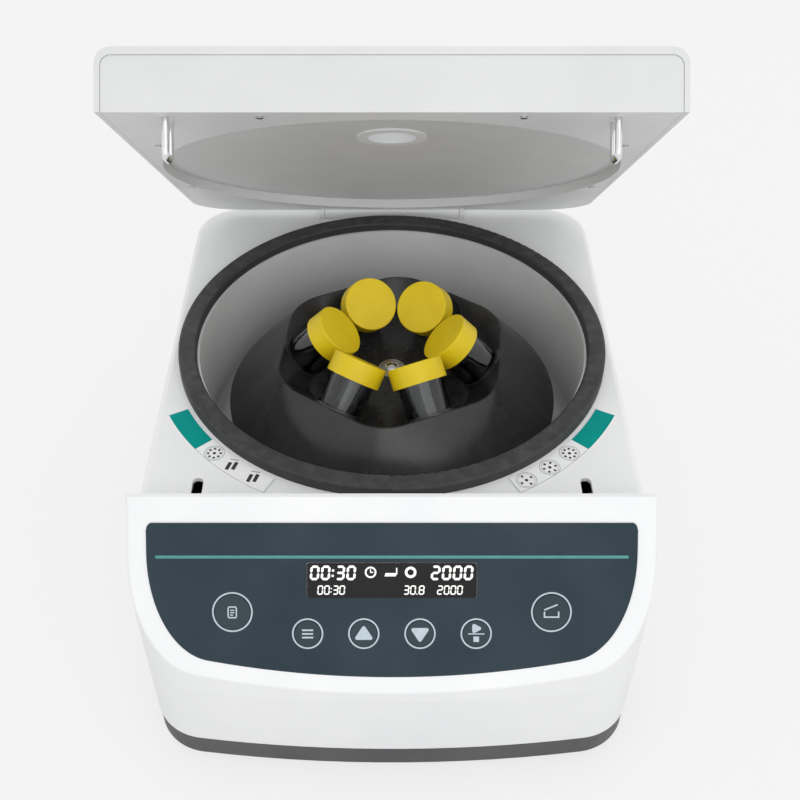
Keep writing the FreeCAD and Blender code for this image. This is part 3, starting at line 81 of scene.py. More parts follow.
camera_data = bpy.data.cameras.new("camera")
camera_data.sensor_width = SENSOR_WIDTH
camera_data.lens = LENS
camera_data.shift_x = SIDE_SHIFT
camera = bpy.data.objects.new("camera", camera_data)
camera.location = (0, BOWL_AXIS.y - EYE_BACK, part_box("bowl_gasket")[1].z + EYE_ABOVE_GASKET)
camera.rotation_euler = (math.pi / 2 - LOOK_DOWN, 0, 0)
bpy.context.scene.collection.objects.link(camera)
bpy.context.scene.camera = camera
bpy.context.scene.view_settings.view_transform = "Standard"
print("camera at", tuple(round(part, 3) for part in camera.location))

# %% [markdown]
# Mouldings are never one flat colour: the tone drifts a little over a hand's width, the gloss is uneven,
# and a fine grain catches the light. Those three effects are wanted in nearly every material, so each is
# a shader node group that is built once. A helper makes the group with its sockets.

# %% Node group helper
def new_group(name, inputs, outputs):
    """A shader node group with sockets of (label, kind, value) and (label, kind)."""
    group = bpy.data.node_groups.new(name, "ShaderNodeTree")
    for label, kind, value in inputs:
        socket = group.interface.new_socket(label, in_out="INPUT", socket_type="NodeSocket" + kind)
        socket.default_value = value
    for label, kind in outputs:
        group.interface.new_socket(label, in_out="OUTPUT", socket_type="NodeSocket" + kind)
    return group, group.nodes.new("NodeGroupInput"), group.nodes.new("NodeGroupOutput")


def noise(tree, scale, detail=3.0):
    """A noise texture in the frame's own metres, finer for a larger scale."""
    place = tree.nodes.new("ShaderNodeTexCoord")
    texture = tree.nodes.new("ShaderNodeTexNoise")
    texture.inputs["Detail"].default_value = detail
    tree.links.new(place.outputs["Object"], texture.inputs["Vector"])
    if hasattr(scale, "is_output"):
        tree.links.new(scale, texture.inputs["Scale"])
    else:
        texture.inputs["Scale"].default_value = scale
    return texture.outputs["Fac"]


def spread(tree, value, low, high, to_low=0.0, to_high=1.0):
    """value moved from the range low..high to to_low..to_high."""
    ranged = tree.nodes.new("ShaderNodeMapRange")
    ranged.inputs["From Min"].default_value = low
    ranged.inputs["From Max"].default_value = high
    ranged.inputs["To Min"].default_value = to_low
    ranged.inputs["To Max"].default_value = to_high
    tree.links.new(value, ranged.inputs["Value"])
    return ranged.outputs["Result"]


def calculate(tree, operation, first, second):
    """A Math node on two sockets or numbers."""
    node = tree.nodes.new("ShaderNodeMath")
    node.operation = operation
    for index, part in enumerate((first, second)):
        if hasattr(part, "is_output"):
            tree.links.new(part, node.inputs[index])
        else:
            node.inputs[index].default_value = part
    return node.outputs[0]


def blend_colour(tree, factor, first, second):
    """A mix of two colour sockets by a factor socket."""
    mix = tree.nodes.new("ShaderNodeMix")
    mix.data_type = "RGBA"
    tree.links.new(factor, mix.inputs["Factor"])
    tree.links.new(first, mix.inputs["A"])
    tree.links.new(second, mix.inputs["B"])
    return mix.outputs["Result"]


# %% [markdown]
# Tone drift: two close colours are mixed by a broad noise, as resin and pigment never mix quite evenly.

# %% Tone drift
TONE_RANGE = (0.35, 0.65)


def make_tone_drift():
    group, enter, leave = new_group(
        "tone drift",
        [("Colour", "Color", (0.8, 0.8, 0.8, 1)), ("Second Colour", "Color", (0.7, 0.7, 0.7, 1)),
         ("Scale", "Float", 20.0)],
        [("Colour", "Color")],
    )
    cloud = spread(group, noise(group, enter.outputs["Scale"]), *TONE_RANGE)
    mixed = blend_colour(group, cloud, enter.outputs["Colour"], enter.outputs["Second Colour"])
    group.links.new(mixed, leave.inputs["Colour"])
    return group


tone_drift = make_tone_drift()
print("group:", tone_drift.name)

# %% [markdown]
# Gloss drift: the roughness rises and falls a little where hands and cloths have been.

# %% Gloss drift
GLOSS_RANGE = (0.3, 0.7)
GLOSS_DETAIL = 4.0


def make_gloss_drift():
    group, enter, leave = new_group(
        "gloss drift",
        [("Roughness", "Float", 0.4), ("Amount", "Float", 0.06), ("Scale", "Float", 35.0)],
        [("Roughness", "Float")],
    )
    clouds = noise(group, enter.outputs["Scale"], GLOSS_DETAIL)
    cloud = spread(group, clouds, *GLOSS_RANGE, -1.0, 1.0)
    change = calculate(group, "MULTIPLY", cloud, enter.outputs["Amount"])
    total = calculate(group, "ADD", change, enter.outputs["Roughness"])
    group.links.new(total, leave.inputs["Roughness"])
    return group


gloss_drift = make_gloss_drift()
print("group:", gloss_drift.name)

# %% [markdown]
# Moulded grain: the spark-eroded texture of a moulding tool is a field of small soft bumps, about half
# a millimetre apart, over a slower waviness that long reflections show.

# %% Moulded grain
def make_moulded_grain():
    group, enter, leave = new_group(
        "moulded grain",
        [("Grain Scale", "Float", 1800.0), ("Wave Scale", "Float", 30.0), ("Wave Share", "Float", 0.5)],
        [("Height", "Float")],
    )
    grain = noise(group, enter.outputs["Grain Scale"], 2.0)
    wave = noise(group, enter.outputs["Wave Scale"], 1.0)
    slow = calculate(group, "MULTIPLY", wave, enter.outputs["Wave Share"])
    group.links.new(calculate(group, "ADD", grain, slow), leave.inputs["Height"])
    return group


moulded_grain = make_moulded_grain()
print("group:", moulded_grain.name)

# %% [markdown]
# Turned lines: the bowl is spun from sheet and the motor's housing is turned, so very fine rings run round
# their axis. Height and distance from the axis, added up, change along the tool's path and stay the same
# round each ring, so a noise of that one number draws rings.

# %% Turned lines
def make_turned_lines():
    group, enter, leave = new_group(
        "turned lines",
        [("Axis Place", "Vector", (0, 0, 0)), ("Scale", "Float", 900.0)],
        [("Height", "Float")],
    )
    place = group.nodes.new("ShaderNodeTexCoord")
    offset = group.nodes.new("ShaderNodeVectorMath")
    offset.operation = "SUBTRACT"
    group.links.new(place.outputs["Object"], offset.inputs[0])
    group.links.new(enter.outputs["Axis Place"], offset.inputs[1])
    parts = group.nodes.new("ShaderNodeSeparateXYZ")
    group.links.new(offset.outputs[0], parts.inputs[0])
    across = calculate(group, "MULTIPLY", parts.outputs["X"], parts.outputs["X"])
    along = calculate(group, "MULTIPLY", parts.outputs["Y"], parts.outputs["Y"])
    radius = calculate(group, "POWER", calculate(group, "ADD", across, along), 0.5)
    path = calculate(group, "ADD", radius, parts.outputs["Z"])
    rings = group.nodes.new("ShaderNodeTexNoise")
    rings.noise_dimensions = "1D"
    rings.inputs["Detail"].default_value = 4.0
    group.links.new(path, rings.inputs["W"])
    group.links.new(enter.outputs["Scale"], rings.inputs["Scale"])
    group.links.new(rings.outputs["Fac"], leave.inputs["Height"])
    return group


turned_lines = make_turned_lines()
print("group:", turned_lines.name)

# %% [markdown]
# Settled dust: a pale film lies on surfaces that face up, thicker in some places than others. It is what
# tells black rubber and dark plastic from a hole in the picture.

# %% Settled dust
DUSTY_SLOPES = (0.2, 1.0)
SPECK_RANGE = (0.42, 0.68)
SPECK_SCALE = 140.0
SPECK_DETAIL = 6.0


def make_settled_dust():
    group, enter, leave = new_group(
        "settled dust",
        [("Colour", "Color", (0.05, 0.05, 0.05, 1)), ("Dust Colour", "Color", (0.35, 0.34, 0.32, 1)),
         ("Amount", "Float", 0.05)],
        [("Colour", "Color")],
    )
    facing = group.nodes.new("ShaderNodeNewGeometry")
    parts = group.nodes.new("ShaderNodeSeparateXYZ")
    group.links.new(facing.outputs["Normal"], parts.inputs[0])
    upward = spread(group, parts.outputs["Z"], *DUSTY_SLOPES)
    specks = spread(group, noise(group, SPECK_SCALE, SPECK_DETAIL), *SPECK_RANGE)
    cover = calculate(group, "MULTIPLY", upward, specks)
    share = calculate(group, "MULTIPLY", cover, enter.outputs["Amount"])
    dusty = blend_colour(group, share, enter.outputs["Colour"], enter.outputs["Dust Colour"])
    group.links.new(dusty, leave.inputs["Colour"])
    return group


settled_dust = make_settled_dust()
print("group:", settled_dust.name)

# %% [markdown]
# Every finish starts the same way: a Principled shader whose colour, roughness and bump come from the
# groups. Values that are the same all over, such as metallic or the coat, go straight on the shader.

# %% Material helper
def place_group(tree, group, **values):
    node = tree.nodes.new("ShaderNodeGroup")
    node.node_tree = group
    for label, value in values.items():
        socket = node.inputs[label.replace("_", " ").title()]
        if hasattr(value, "is_output"):
            tree.links.new(value, socket)
        else:
            socket.default_value = value
    return node


def rgba(colour):
    return (*colour, 1.0)


def finish_material(name, colour, second, roughness, gloss=0.05, grain=0.00002, grain_scale=1800.0,
                    tone_scale=18.0, dust=0.0, **constants):
    """A procedural material. grain is the bump's depth in metres; constants are shader sockets."""
    material = bpy.data.materials.new(name)
    material.use_nodes = True
    tree = material.node_tree
    shader = tree.nodes["Principled BSDF"]
    tone = place_group(tree, tone_drift, colour=rgba(colour), second_colour=rgba(second), scale=tone_scale)
    paint = tone.outputs["Colour"]
    if dust:
        paint = place_group(tree, settled_dust, colour=paint, amount=dust).outputs["Colour"]
    tree.links.new(paint, shader.inputs["Base Color"])
    sheen = place_group(tree, gloss_drift, roughness=roughness, amount=gloss)
    tree.links.new(sheen.outputs["Roughness"], shader.inputs["Roughness"])
    if grain:
        relief = place_group(tree, moulded_grain, grain_scale=grain_scale)
        bump = tree.nodes.new("ShaderNodeBump")
        bump.inputs["Distance"].default_value = grain
        bump.inputs["Strength"].default_value = 1.0
        tree.links.new(relief.outputs["Height"], bump.inputs["Height"])
        tree.links.new(bump.outputs["Normal"], shader.inputs["Normal"])
    for label, value in constants.items():
        shader.inputs[label.replace("_", " ").title().replace("Ior", "IOR")].default_value = value
    return material


def turned_material(name, colour, second, roughness, depth, line_scale, metallic):
    """Metal with fine rings round the bowl's axis."""
    material = finish_material(name, colour, second, roughness, gloss=0.04, grain=0, Metallic=metallic)
    tree = material.node_tree
    shader = tree.nodes["Principled BSDF"]
    axis = (BOWL_AXIS.x, BOWL_AXIS.y, 0)
    rings = place_group(tree, turned_lines, axis_place=axis, scale=line_scale)
    bump = tree.nodes.new("ShaderNodeBump")
    bump.inputs["Distance"].default_value = depth
    tree.links.new(rings.outputs["Height"], bump.inputs["Height"])
    tree.links.new(bump.outputs["Normal"], shader.inputs["Normal"])
    return material


# %% [markdown]
# The finishes of the mouldings. The housing is white ABS with a fine satin grain, its base a dark grey of
# the same kind, and the lid's shell and tray a pale grey. The panel film is slate blue with little shine.

# %% Plastics
white_abs = finish_material(
    "white satin abs", (0.83, 0.835, 0.84), (0.80, 0.807, 0.815), 0.38, gloss=0.04, grain=0.00001,
)
tray_abs = finish_material(
    "lid tray abs", (0.68, 0.685, 0.69), (0.65, 0.655, 0.66), 0.42, grain=0.00001,
)
dark_abs = finish_material(
    "base grey abs", (0.070, 0.071, 0.073), (0.058, 0.059, 0.062), 0.5, grain=0.00004,
    grain_scale=1200.0, dust=0.05,
)
black_nylon = finish_material(
    "black nylon", (0.022, 0.022, 0.023), (0.016, 0.016, 0.017), 0.42, grain=0.00003, dust=0.04,
)
rotor_plastic = finish_material(
    "black glossy rotor", (0.020, 0.020, 0.021), (0.014, 0.014, 0.016), 0.24, gloss=0.05,
    grain=0.000008, grain_scale=900.0, dust=0.03,
)
panel_film = finish_material(
    "slate panel film", (0.023, 0.040, 0.054), (0.016, 0.033, 0.046), 0.42, gloss=0.05,
    grain=0.000006, grain_scale=2600.0, tone_scale=26.0, Specular_Ior_Level=0.2,
)
key_film = finish_material(
    "slate key film", (0.026, 0.043, 0.057), (0.019, 0.036, 0.049), 0.36, gloss=0.05,
    grain=0.000006, grain_scale=2600.0, tone_scale=26.0, Specular_Ior_Level=0.25,
)
print("plastics made")

# %% [markdown]
# Rubber is nearly matt and takes dust. The caps are smooth satin polypropylene, a little translucent,
# which is a small amount of subsurface scattering. The deck labels are a white vinyl film.

# %% Rubber, caps and film
gasket_rubber = finish_material(
    "gasket rubber", (0.034, 0.034, 0.035), (0.027, 0.027, 0.028), 0.62, grain=0.00003, dust=0.08,
    grain_scale=1500.0,
)
cap_yellow = finish_material(
    "yellow polypropylene", (0.78, 0.585, 0.010), (0.74, 0.54, 0.008), 0.38, gloss=0.06,
    grain=0.000012, grain_scale=700.0, tone_scale=60.0, Subsurface_Weight=0.08, Subsurface_Scale=0.003,
    Specular_Ior_Level=0.35,
)
label_film = finish_material(
    "white vinyl", (0.86, 0.865, 0.87), (0.83, 0.835, 0.84), 0.3, grain=0.000005, tone_scale=60.0,
)
print("rubber, caps and film made")

# %% [markdown]
# Metals. The bowl is spun steel that should show a soft, even grey, so its shader is only a quarter
# metallic and the rest of it is plain grey. The motor is bare metal, and the small fittings are plated.

# %% Metals
bowl_steel = turned_material(
    "spun bowl steel", (0.86, 0.865, 0.87), (0.80, 0.805, 0.81), 0.45, 0.00002, 900.0, 0.25,
)
motor_aluminium = turned_material(
    "turned aluminium", (0.62, 0.63, 0.64), (0.55, 0.56, 0.57), 0.36, 0.00003, 700.0, 1.0,
)
bare_steel = finish_material(
    "zinc plated steel", (0.60, 0.60, 0.59), (0.50, 0.505, 0.50), 0.30, gloss=0.08, grain=0.00002,
    tone_scale=90.0, Metallic=1.0,
)
chrome = finish_material(
    "bright plate", (0.78, 0.785, 0.79), (0.72, 0.725, 0.73), 0.14, gloss=0.05, grain=0.000006,
    tone_scale=120.0, Metallic=1.0,
)
print("metals made")

# %% [markdown]
# Clear pieces have a plain transmission weight of one on the shader. The tubes are clear, and their grey tint is
# painted shade that darkens them; the sight window is tinted hardly at all. The display glass is nearly black,
# with a hard face of little shine.

# %% Clear pieces and boards
# The tubes' grey colour is painted shade: clear tubes made darker than their clear plastic is.
tube_clear = finish_material(
    "clear tube", (0.48, 0.50, 0.51), (0.42, 0.44, 0.45), 0.04, gloss=0.02, grain=0,
    Transmission_Weight=1.0, Ior=1.5,
)
window_clear = finish_material(
    "sight window", (0.90, 0.93, 0.93), (0.86, 0.90, 0.90), 0.05, gloss=0.02, grain=0,
    Transmission_Weight=1.0, Ior=1.49,
)
display_glass = finish_material(
    "display glass", (0.007, 0.006, 0.007), (0.005, 0.005, 0.006), 0.20, gloss=0.03, grain=0,
    Specular_Ior_Level=0.2,
)
board_green = finish_material(
    "circuit board", (0.020, 0.11, 0.045), (0.016, 0.09, 0.040), 0.35, grain=0.00005,
    grain_scale=500.0, tone_scale=300.0,
)
print("clear pieces made")

# %% [markdown]
# Each piece of the frame names a material slot, so a table from slot to finish dresses all of them.

# %% Dress the frame
SLOT_FINISH = {
    "white_plastic": white_abs, "grey_plastic": tray_abs, "dark_plastic": dark_abs,
    "black_plastic": black_nylon, "panel_film": panel_film, "key_film": key_film,
    "display_glass": display_glass, "circuit_board": board_green, "bowl_steel": bowl_steel,
    "gasket_rubber": gasket_rubber, "label_film": label_film, "rotor_plastic": rotor_plastic,
    "bare_steel": bare_steel, "chrome": chrome, "clear_window": window_clear,
    "motor_aluminium": motor_aluminium, "tube_clear": tube_clear, "cap_yellow": cap_yellow,
}


def dress(thing, material):
    thing.data.materials.clear()
    thing.data.materials.append(material)


for part in frame["record"]["subparts"]:
    dress(nodes[part["node"]], SLOT_FINISH[part["material_slot"]])

# %% [markdown]
# The control panel leans back, so its print is drawn in the panel's own flat axes: across, up the slope
# and out of the face. The way a key moves gives the direction out of the face, and the keys' and the
# display's own outlines give the places, so nothing has to be fitted by eye.

# %% Panel axes
OUT = Vector(joints["key_up_press"]["axis"]).normalized()
ACROSS = Vector((1, 0, 0))
UP_SLOPE = OUT.cross(ACROSS)
PANEL_TURN = Matrix((ACROSS, UP_SLOPE, OUT)).transposed()


def panel_span(node):
    """Lowest and highest corner of a piece along the panel's own axes."""
    points = [PANEL_TURN.transposed() @ vertex.co for vertex in nodes[node].data.vertices]
    low = Vector(min(point[k] for point in points) for k in range(3))
    high = Vector(max(point[k] for point in points) for k in range(3))
    return low, high


panel_low, panel_high = panel_span("control_panel")
screen_low, screen_high = panel_span("display_window")
print("panel", tuple(round(part / MM, 1) for part in panel_high - panel_low), "mm")

# %% [markdown]
# A print is ink a few hundredths of a millimetre thick. Each one is a closed prism on the surface it is
# printed on: an outline, and sometimes an inner outline for a ring. bmesh makes the two faces and walls.

# %% Print helpers
INK = 0.04 * MM


def arc(centre, radius, start, end, steps):
    """Points on an arc, angles in degrees."""
    angles = [math.radians(start + (end - start) * k / steps) for k in range(steps + 1)]
    return [(centre[0] + radius * math.cos(a), centre[1] + radius * math.sin(a)) for a in angles]


def add_prism(mesh, outline, turn, level):
    """A closed prism of ink thickness over a flat outline. turn takes the flat points to the frame."""
    rings = []
    for height in (level, level + INK):
        rings.append([mesh.verts.new(turn @ Vector((x, y, height))) for x, y in outline])
    count = len(outline)
    mesh.faces.new(list(reversed(rings[0])))
    mesh.faces.new(rings[1])
    for k in range(count):
        mesh.faces.new((rings[0][k], rings[0][(k + 1) % count], rings[1][(k + 1) % count], rings[1][k]))


def add_ring(mesh, centre, inner, outer, turn, level, steps=64):
    """A closed flat ring of ink."""
    loops = []
    for radius, height in ((inner, level), (outer, level), (outer, level + INK), (inner, level + INK)):
        points = arc(centre, radius, 0, 360, steps)[:-1]
        loops.append([mesh.verts.new(turn @ Vector((x, y, height))) for x, y in points])
    for a, b in ((0, 3), (3, 2), (2, 1), (1, 0)):
        for k in range(steps):
            n = (k + 1) % steps
            mesh.faces.new((loops[a][k], loops[a][n], loops[b][n], loops[b][k]))


def finish_print(name, mesh, material, body):
    data = bpy.data.meshes.new(name)
    bmesh.ops.recalc_face_normals(mesh, faces=mesh.faces)
    mesh.to_mesh(data)
    mesh.free()
    thing = bpy.data.objects.new(name, data)
    bpy.context.scene.collection.objects.link(thing)
    dress(thing, material)
    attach(thing, body)


def box_outline(centre, width, height):
    x, y = centre
    return [(x - width / 2, y - height / 2), (x + width / 2, y - height / 2),
            (x + width / 2, y + height / 2), (x - width / 2, y + height / 2)]


# %% [markdown]
# Inks. The panel's white ink is a little blue, the line is a mint green, and the deck's sectors are teal.

# %% Inks
pale_ink = finish_material(
    "pale ink", (0.50, 0.58, 0.64), (0.44, 0.52, 0.58), 0.45, grain=0.000004, tone_scale=400.0,
)
mint_ink = finish_material(
    "mint ink", (0.060, 0.27, 0.265), (0.050, 0.24, 0.24), 0.42, grain=0.000004, tone_scale=200.0,
)
teal_ink = finish_material(
    "teal ink", (0.002, 0.30, 0.265), (0.001, 0.27, 0.24), 0.40, gloss=0.06, grain=0.000004,
    tone_scale=70.0, Specular_Ior_Level=0.05,
)
grey_ink = finish_material(
    "grey ink", (0.36, 0.38, 0.37), (0.42, 0.44, 0.43), 0.45, grain=0.000004, tone_scale=900.0,
)
black_ink = finish_material(
    "black ink", (0.018, 0.018, 0.019), (0.03, 0.03, 0.031), 0.42, grain=0.000004, tone_scale=900.0,
)
print("inks made")

# %% [markdown]
# A mint line runs across the panel just above the display, and each key has a ring printed round it. A key
# has a flange under the panel, so the part that shows is smaller than the piece by the flange's width.

# %% Line and rings
LINE_HALF = 126.5 * MM
LINE_ABOVE_SCREEN = 2.5 * MM
LINE_WIDE = 1.6 * MM
KEY_FLANGE = 1.2 * MM
RING_START = 0.35 * MM
RING_END = 1.2 * MM
KEY_NODES = [name for name in nodes if name.startswith("key_")]

line_mesh = bmesh.new()
line_middle = (0, screen_high.y + LINE_ABOVE_SCREEN + LINE_WIDE / 2)
add_prism(line_mesh, box_outline(line_middle, 2 * LINE_HALF, LINE_WIDE), PANEL_TURN, panel_high.z)
finish_print("panel_line", line_mesh, mint_ink, "housing")

ring_mesh = bmesh.new()
key_middle = {}
key_face = {}
key_radius = {}
for name in KEY_NODES:
    low, high = panel_span(name)
    key_middle[name] = ((low.x + high.x) / 2, (low.y + high.y) / 2)
    key_face[name] = high.z
    radius = (high.x - low.x) / 2 - KEY_FLANGE
    key_radius[name] = radius
    add_ring(ring_mesh, key_middle[name], radius + RING_START, radius + RING_END, PANEL_TURN, panel_high.z)
finish_print("key_rings", ring_mesh, pale_ink, "housing")
print("keys:", {name: round(radius / MM, 2) for name, radius in key_radius.items()}, "mm")

# %% [markdown]
# The keys carry plain signs that every maker uses: a sheet with lines for the stored programs, three bars
# for the menu, arrows, a play and a stop sign with a line between, and a box with a raised lid. They are
# drawn in millimetres round the key's middle.

# %% Key signs
def shifted(points, middle):
    return [(middle[0] + x * MM, middle[1] + y * MM) for x, y in points]


def bar(start, end, width):
    """The outline of a straight stroke, in the unit of its two ends."""
    a, b = Vector(start), Vector(end)
    side = Vector((a.y - b.y, b.x - a.x)).normalized() * width / 2
    return [tuple(point) for point in (a - side, b - side, b + side, a + side)]


def rounded_triangle(points, radius, steps=5):
    """A filled triangle whose corners are short arcs."""
    corners = [Vector(point) for point in points]
    outline = []
    for k in range(3):
        here, before, after = corners[k], corners[k - 1], corners[(k + 1) % 3]
        a, b = (before - here).normalized(), (after - here).normalized()
        half = a.angle(b) / 2
        centre = here + (a + b).normalized() * radius / math.sin(half)
        start = here + a * radius / math.tan(half) - centre
        end = here + b * radius / math.tan(half) - centre
        for step in range(steps + 1):
            outline.append(tuple(centre + start.slerp(end, step / steps)))
    return outline


FINE = 0.6
SHEET_EDGE = 0.7
BOX_EDGE = 0.8
MENU_BAR = 0.9
STOP_SQUARE = 3.0
ARROW_ROUND = 0.35
PLAY_ROUND = 0.2
SIGNS = {
    "key_program": [
        bar((-2.2, 2.9), (2.2, 2.9), SHEET_EDGE), bar((-2.2, -2.9), (2.2, -2.9), SHEET_EDGE),
        bar((-2.2, -2.54), (-2.2, 2.54), SHEET_EDGE), bar((2.2, -2.54), (2.2, 2.54), SHEET_EDGE),
        bar((-1.1, 1.1), (1.1, 1.1), FINE), bar((-1.1, -0.2), (1.1, -0.2), FINE),
        bar((-1.1, -1.5), (0.4, -1.5), FINE),
    ],
    "key_menu": [bar((-3.0, y), (3.0, y), MENU_BAR) for y in (2.0, 0.0, -2.0)],
    "key_up": [rounded_triangle([(-4.3, -2.6), (4.3, -2.6), (0, 3.9)], ARROW_ROUND)],
    "key_down": [rounded_triangle([(4.3, 2.6), (-4.3, 2.6), (0, -3.9)], ARROW_ROUND)],
    "key_start": [
        rounded_triangle([(-1.4, 1.2), (2.0, 3.0), (-1.4, 4.8)], PLAY_ROUND),
        bar((-4.4, 0), (4.4, 0), FINE), bar((-1.5, -2.9), (1.5, -2.9), STOP_SQUARE),
    ],
    "key_lid_release": [
        bar((-4.2, -2.6), (4.2, -2.6), BOX_EDGE), bar((-3.8, -2.2), (-3.8, 0.4), BOX_EDGE),
        bar((3.8, -2.2), (3.8, 0.4), BOX_EDGE), bar((-3.9, 1.3), (3.2, 4.2), BOX_EDGE),
    ],
}
for name, strokes in SIGNS.items():
    sign = bmesh.new()
    for stroke in strokes:
        add_prism(sign, shifted(stroke, key_middle[name]), PANEL_TURN, key_face[name])
    finish_print(name.replace("key_", "sign_"), sign, pale_ink, "pushed_" + name)
print("signs:", len(SIGNS))

# %% [markdown]
# The display shows seven-segment numbers that lean a little. A segment is a six-sided bar, and a table
# says which of the seven bars each figure lights.

# %% Figures
SEGMENTS = {
    "0": "abcdef", "2": "abged", "3": "abgcd", "8": "abcdefg",
}
LEAN = 0.08
SEGMENT_GAP = 0.06
COLON_HEIGHTS = (0.3, 0.66)
DOT_SIDE = 0.9
DOT_BACK = 0.02
DOT_PITCH = 1.5


def segment_outline(letter, width, height, stroke):
    """One bar of a seven-segment figure whose lower left corner is at zero."""
    half = stroke / 2
    left, right = half, width - half
    low, middle, high = half, height / 2, height - half
    ends = {
        "a": ((left, high), (right, high)), "b": ((right, middle), (right, high)),
        "c": ((right, low), (right, middle)), "d": ((left, low), (right, low)),
        "e": ((left, low), (left, middle)), "f": ((left, middle), (left, high)),
        "g": ((left, middle), (right, middle)),
    }[letter]
    start, end = (Vector(point) for point in ends)
    along = (end - start).normalized()
    side = Vector((-along.y, along.x)) * half
    gap = along * stroke * SEGMENT_GAP
    start, end = start + gap, end - gap
    inset = along * half
    points = [
        start, start + inset - side, end - inset - side,
        end, end - inset + side, start + inset + side,
    ]
    return [(point.x + point.y * LEAN, point.y) for point in points]


def write_figures(mesh, text, corner, height, stroke, width, pitch, turn, level):
    """Figures, a colon or a point from left to right, in metres."""
    x, y = corner
    for sign in text:
        if sign in SEGMENTS:
            for letter in SEGMENTS[sign]:
                outline = segment_outline(letter, width, height, stroke)
                add_prism(mesh, [(x + a, y + b) for a, b in outline], turn, level)
            x += pitch
            continue
        heights = [height * share for share in COLON_HEIGHTS] if sign == ":" else [stroke / 2]
        for up in heights:
            middle = (x + stroke / 2 + up * LEAN - pitch * DOT_BACK, y + up)
            add_prism(mesh, box_outline(middle, stroke * DOT_SIDE, stroke * DOT_SIDE), turn, level)
        x += stroke * DOT_PITCH


glow_figures = finish_material(
    "lit figures", (0.80, 0.80, 0.77), (0.74, 0.74, 0.72), 0.5, grain=0, tone_scale=500.0,
    Emission_Color=(0.93, 0.93, 0.90, 1.0), Emission_Strength=0.35,
)
screen_left = screen_low.x
screen_top = screen_high.y
screen_face = screen_high.z
LARGE = {"height": 8.0 * MM, "stroke": 1.3 * MM, "width": 5.0 * MM, "pitch": 5.85 * MM}
SMALL = {"height": 5.1 * MM, "stroke": 0.7 * MM, "width": 3.1 * MM, "pitch": 3.55 * MM}
LARGE_LOW = screen_top - 9.2 * MM
SMALL_LOW = screen_top - 17.1 * MM
DISPLAY_TEXT = (
    ("00:30", 1.3 * MM, LARGE_LOW, LARGE),
    ("2000", 66.0 * MM, LARGE_LOW, LARGE),
    ("00:30", 5.3 * MM, SMALL_LOW, SMALL),
    ("30.8", 51.4 * MM, SMALL_LOW, SMALL),
    ("2000", 69.4 * MM, SMALL_LOW, SMALL),
)

figures = bmesh.new()
for text, left, low, form in DISPLAY_TEXT:
    write_figures(figures, text, (screen_left + left, low), turn=PANEL_TURN, level=screen_face, **form)
print("figures written:", len(DISPLAY_TEXT))

# %% [markdown]
# Between the large figures stand three small icons in one row: a clock, a ramp for the run-up, and a ring
# for the turning rotor.

# %% Icons
ICON_ROW = screen_top - 4.9 * MM
ICON_RADIUS = 3.1 * MM
ICON_STEPS = 40
CLOCK_INNER = 2.2 * MM
HAND_WIDE = 0.55
CLOCK_HANDS = (((0, -0.3), (0, 1.7)), ((0.28, 0), (1.4, 0)))
RAMP_OUTLINE = [(-3.6, -2.2), (2.2, -2.2), (3.3, -0.8), (3.3, 2.4), (2.6, 2.4), (2.6, -0.4), (-3.0, -0.4)]
RING_INNER = 1.7 * MM

clock = (screen_left + 34.0 * MM, ICON_ROW)
ramp = (screen_left + 45.0 * MM, ICON_ROW)
turning = (screen_left + 55.4 * MM, ICON_ROW)
add_ring(figures, clock, CLOCK_INNER, ICON_RADIUS, PANEL_TURN, screen_face, ICON_STEPS)
for start, end in CLOCK_HANDS:
    add_prism(figures, shifted(bar(start, end, HAND_WIDE), clock), PANEL_TURN, screen_face)
add_prism(figures, shifted(RAMP_OUTLINE, ramp), PANEL_TURN, screen_face)
add_ring(figures, turning, RING_INNER, ICON_RADIUS, PANEL_TURN, screen_face, ICON_STEPS)
finish_print("display_figures", figures, glow_figures, "housing")
print("display figures made")

# %% [markdown]
# The two labels on the deck follow the bowl's edge, so their print is placed by angle and radius round
# the bowl's axis. Each begins with a teal sector, and a thin border runs on to the label's end.

# %% Deck labels
LABEL_START = 27.2
LABEL_END = 61.4
TEAL_START = LABEL_START + 0.3
TEAL_END = 40.6
TEAL_INNER = 139.2 * MM
TEAL_OUTER = 151.3 * MM
BORDER = 0.35 * MM
CURVE_STEPS = 24
DECK_TURN = Matrix.Identity(3)
label_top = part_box("deck_label_left")[1].z


def deck_point(side, radius, angle):
    a = math.radians(angle)
    return (side * radius * math.cos(a), BOWL_AXIS.y - radius * math.sin(a))


def deck_band(side, inner, outer, start, end):
    """The outline of a curved strip round the bowl between two angles."""
    angles = [start + (end - start) * k / CURVE_STEPS for k in range(CURVE_STEPS + 1)]
    outline = [deck_point(side, outer, angle) for angle in angles]
    return outline + [deck_point(side, inner, angle) for angle in reversed(angles)]


def label_border(mesh, side):
    """A line along the label's outer edge and another across its end."""
    edge = deck_band(side, TEAL_OUTER - BORDER, TEAL_OUTER, LABEL_END, TEAL_END)
    add_prism(mesh, edge, DECK_TURN, label_top)
    corners = [deck_point(side, radius, LABEL_END) for radius in (TEAL_OUTER - 1.2 * BORDER, TEAL_INNER)]
    add_prism(mesh, bar(*corners, BORDER), DECK_TURN, label_top)


print("label top at", round(label_top / MM, 1), "mm")

# %% [markdown]
# The right label shows three rotors from above, as discs with fewer holes from one to the next. The left
# one shows a rotor and two pairs of tubes, which stand aslant under a thin bar.

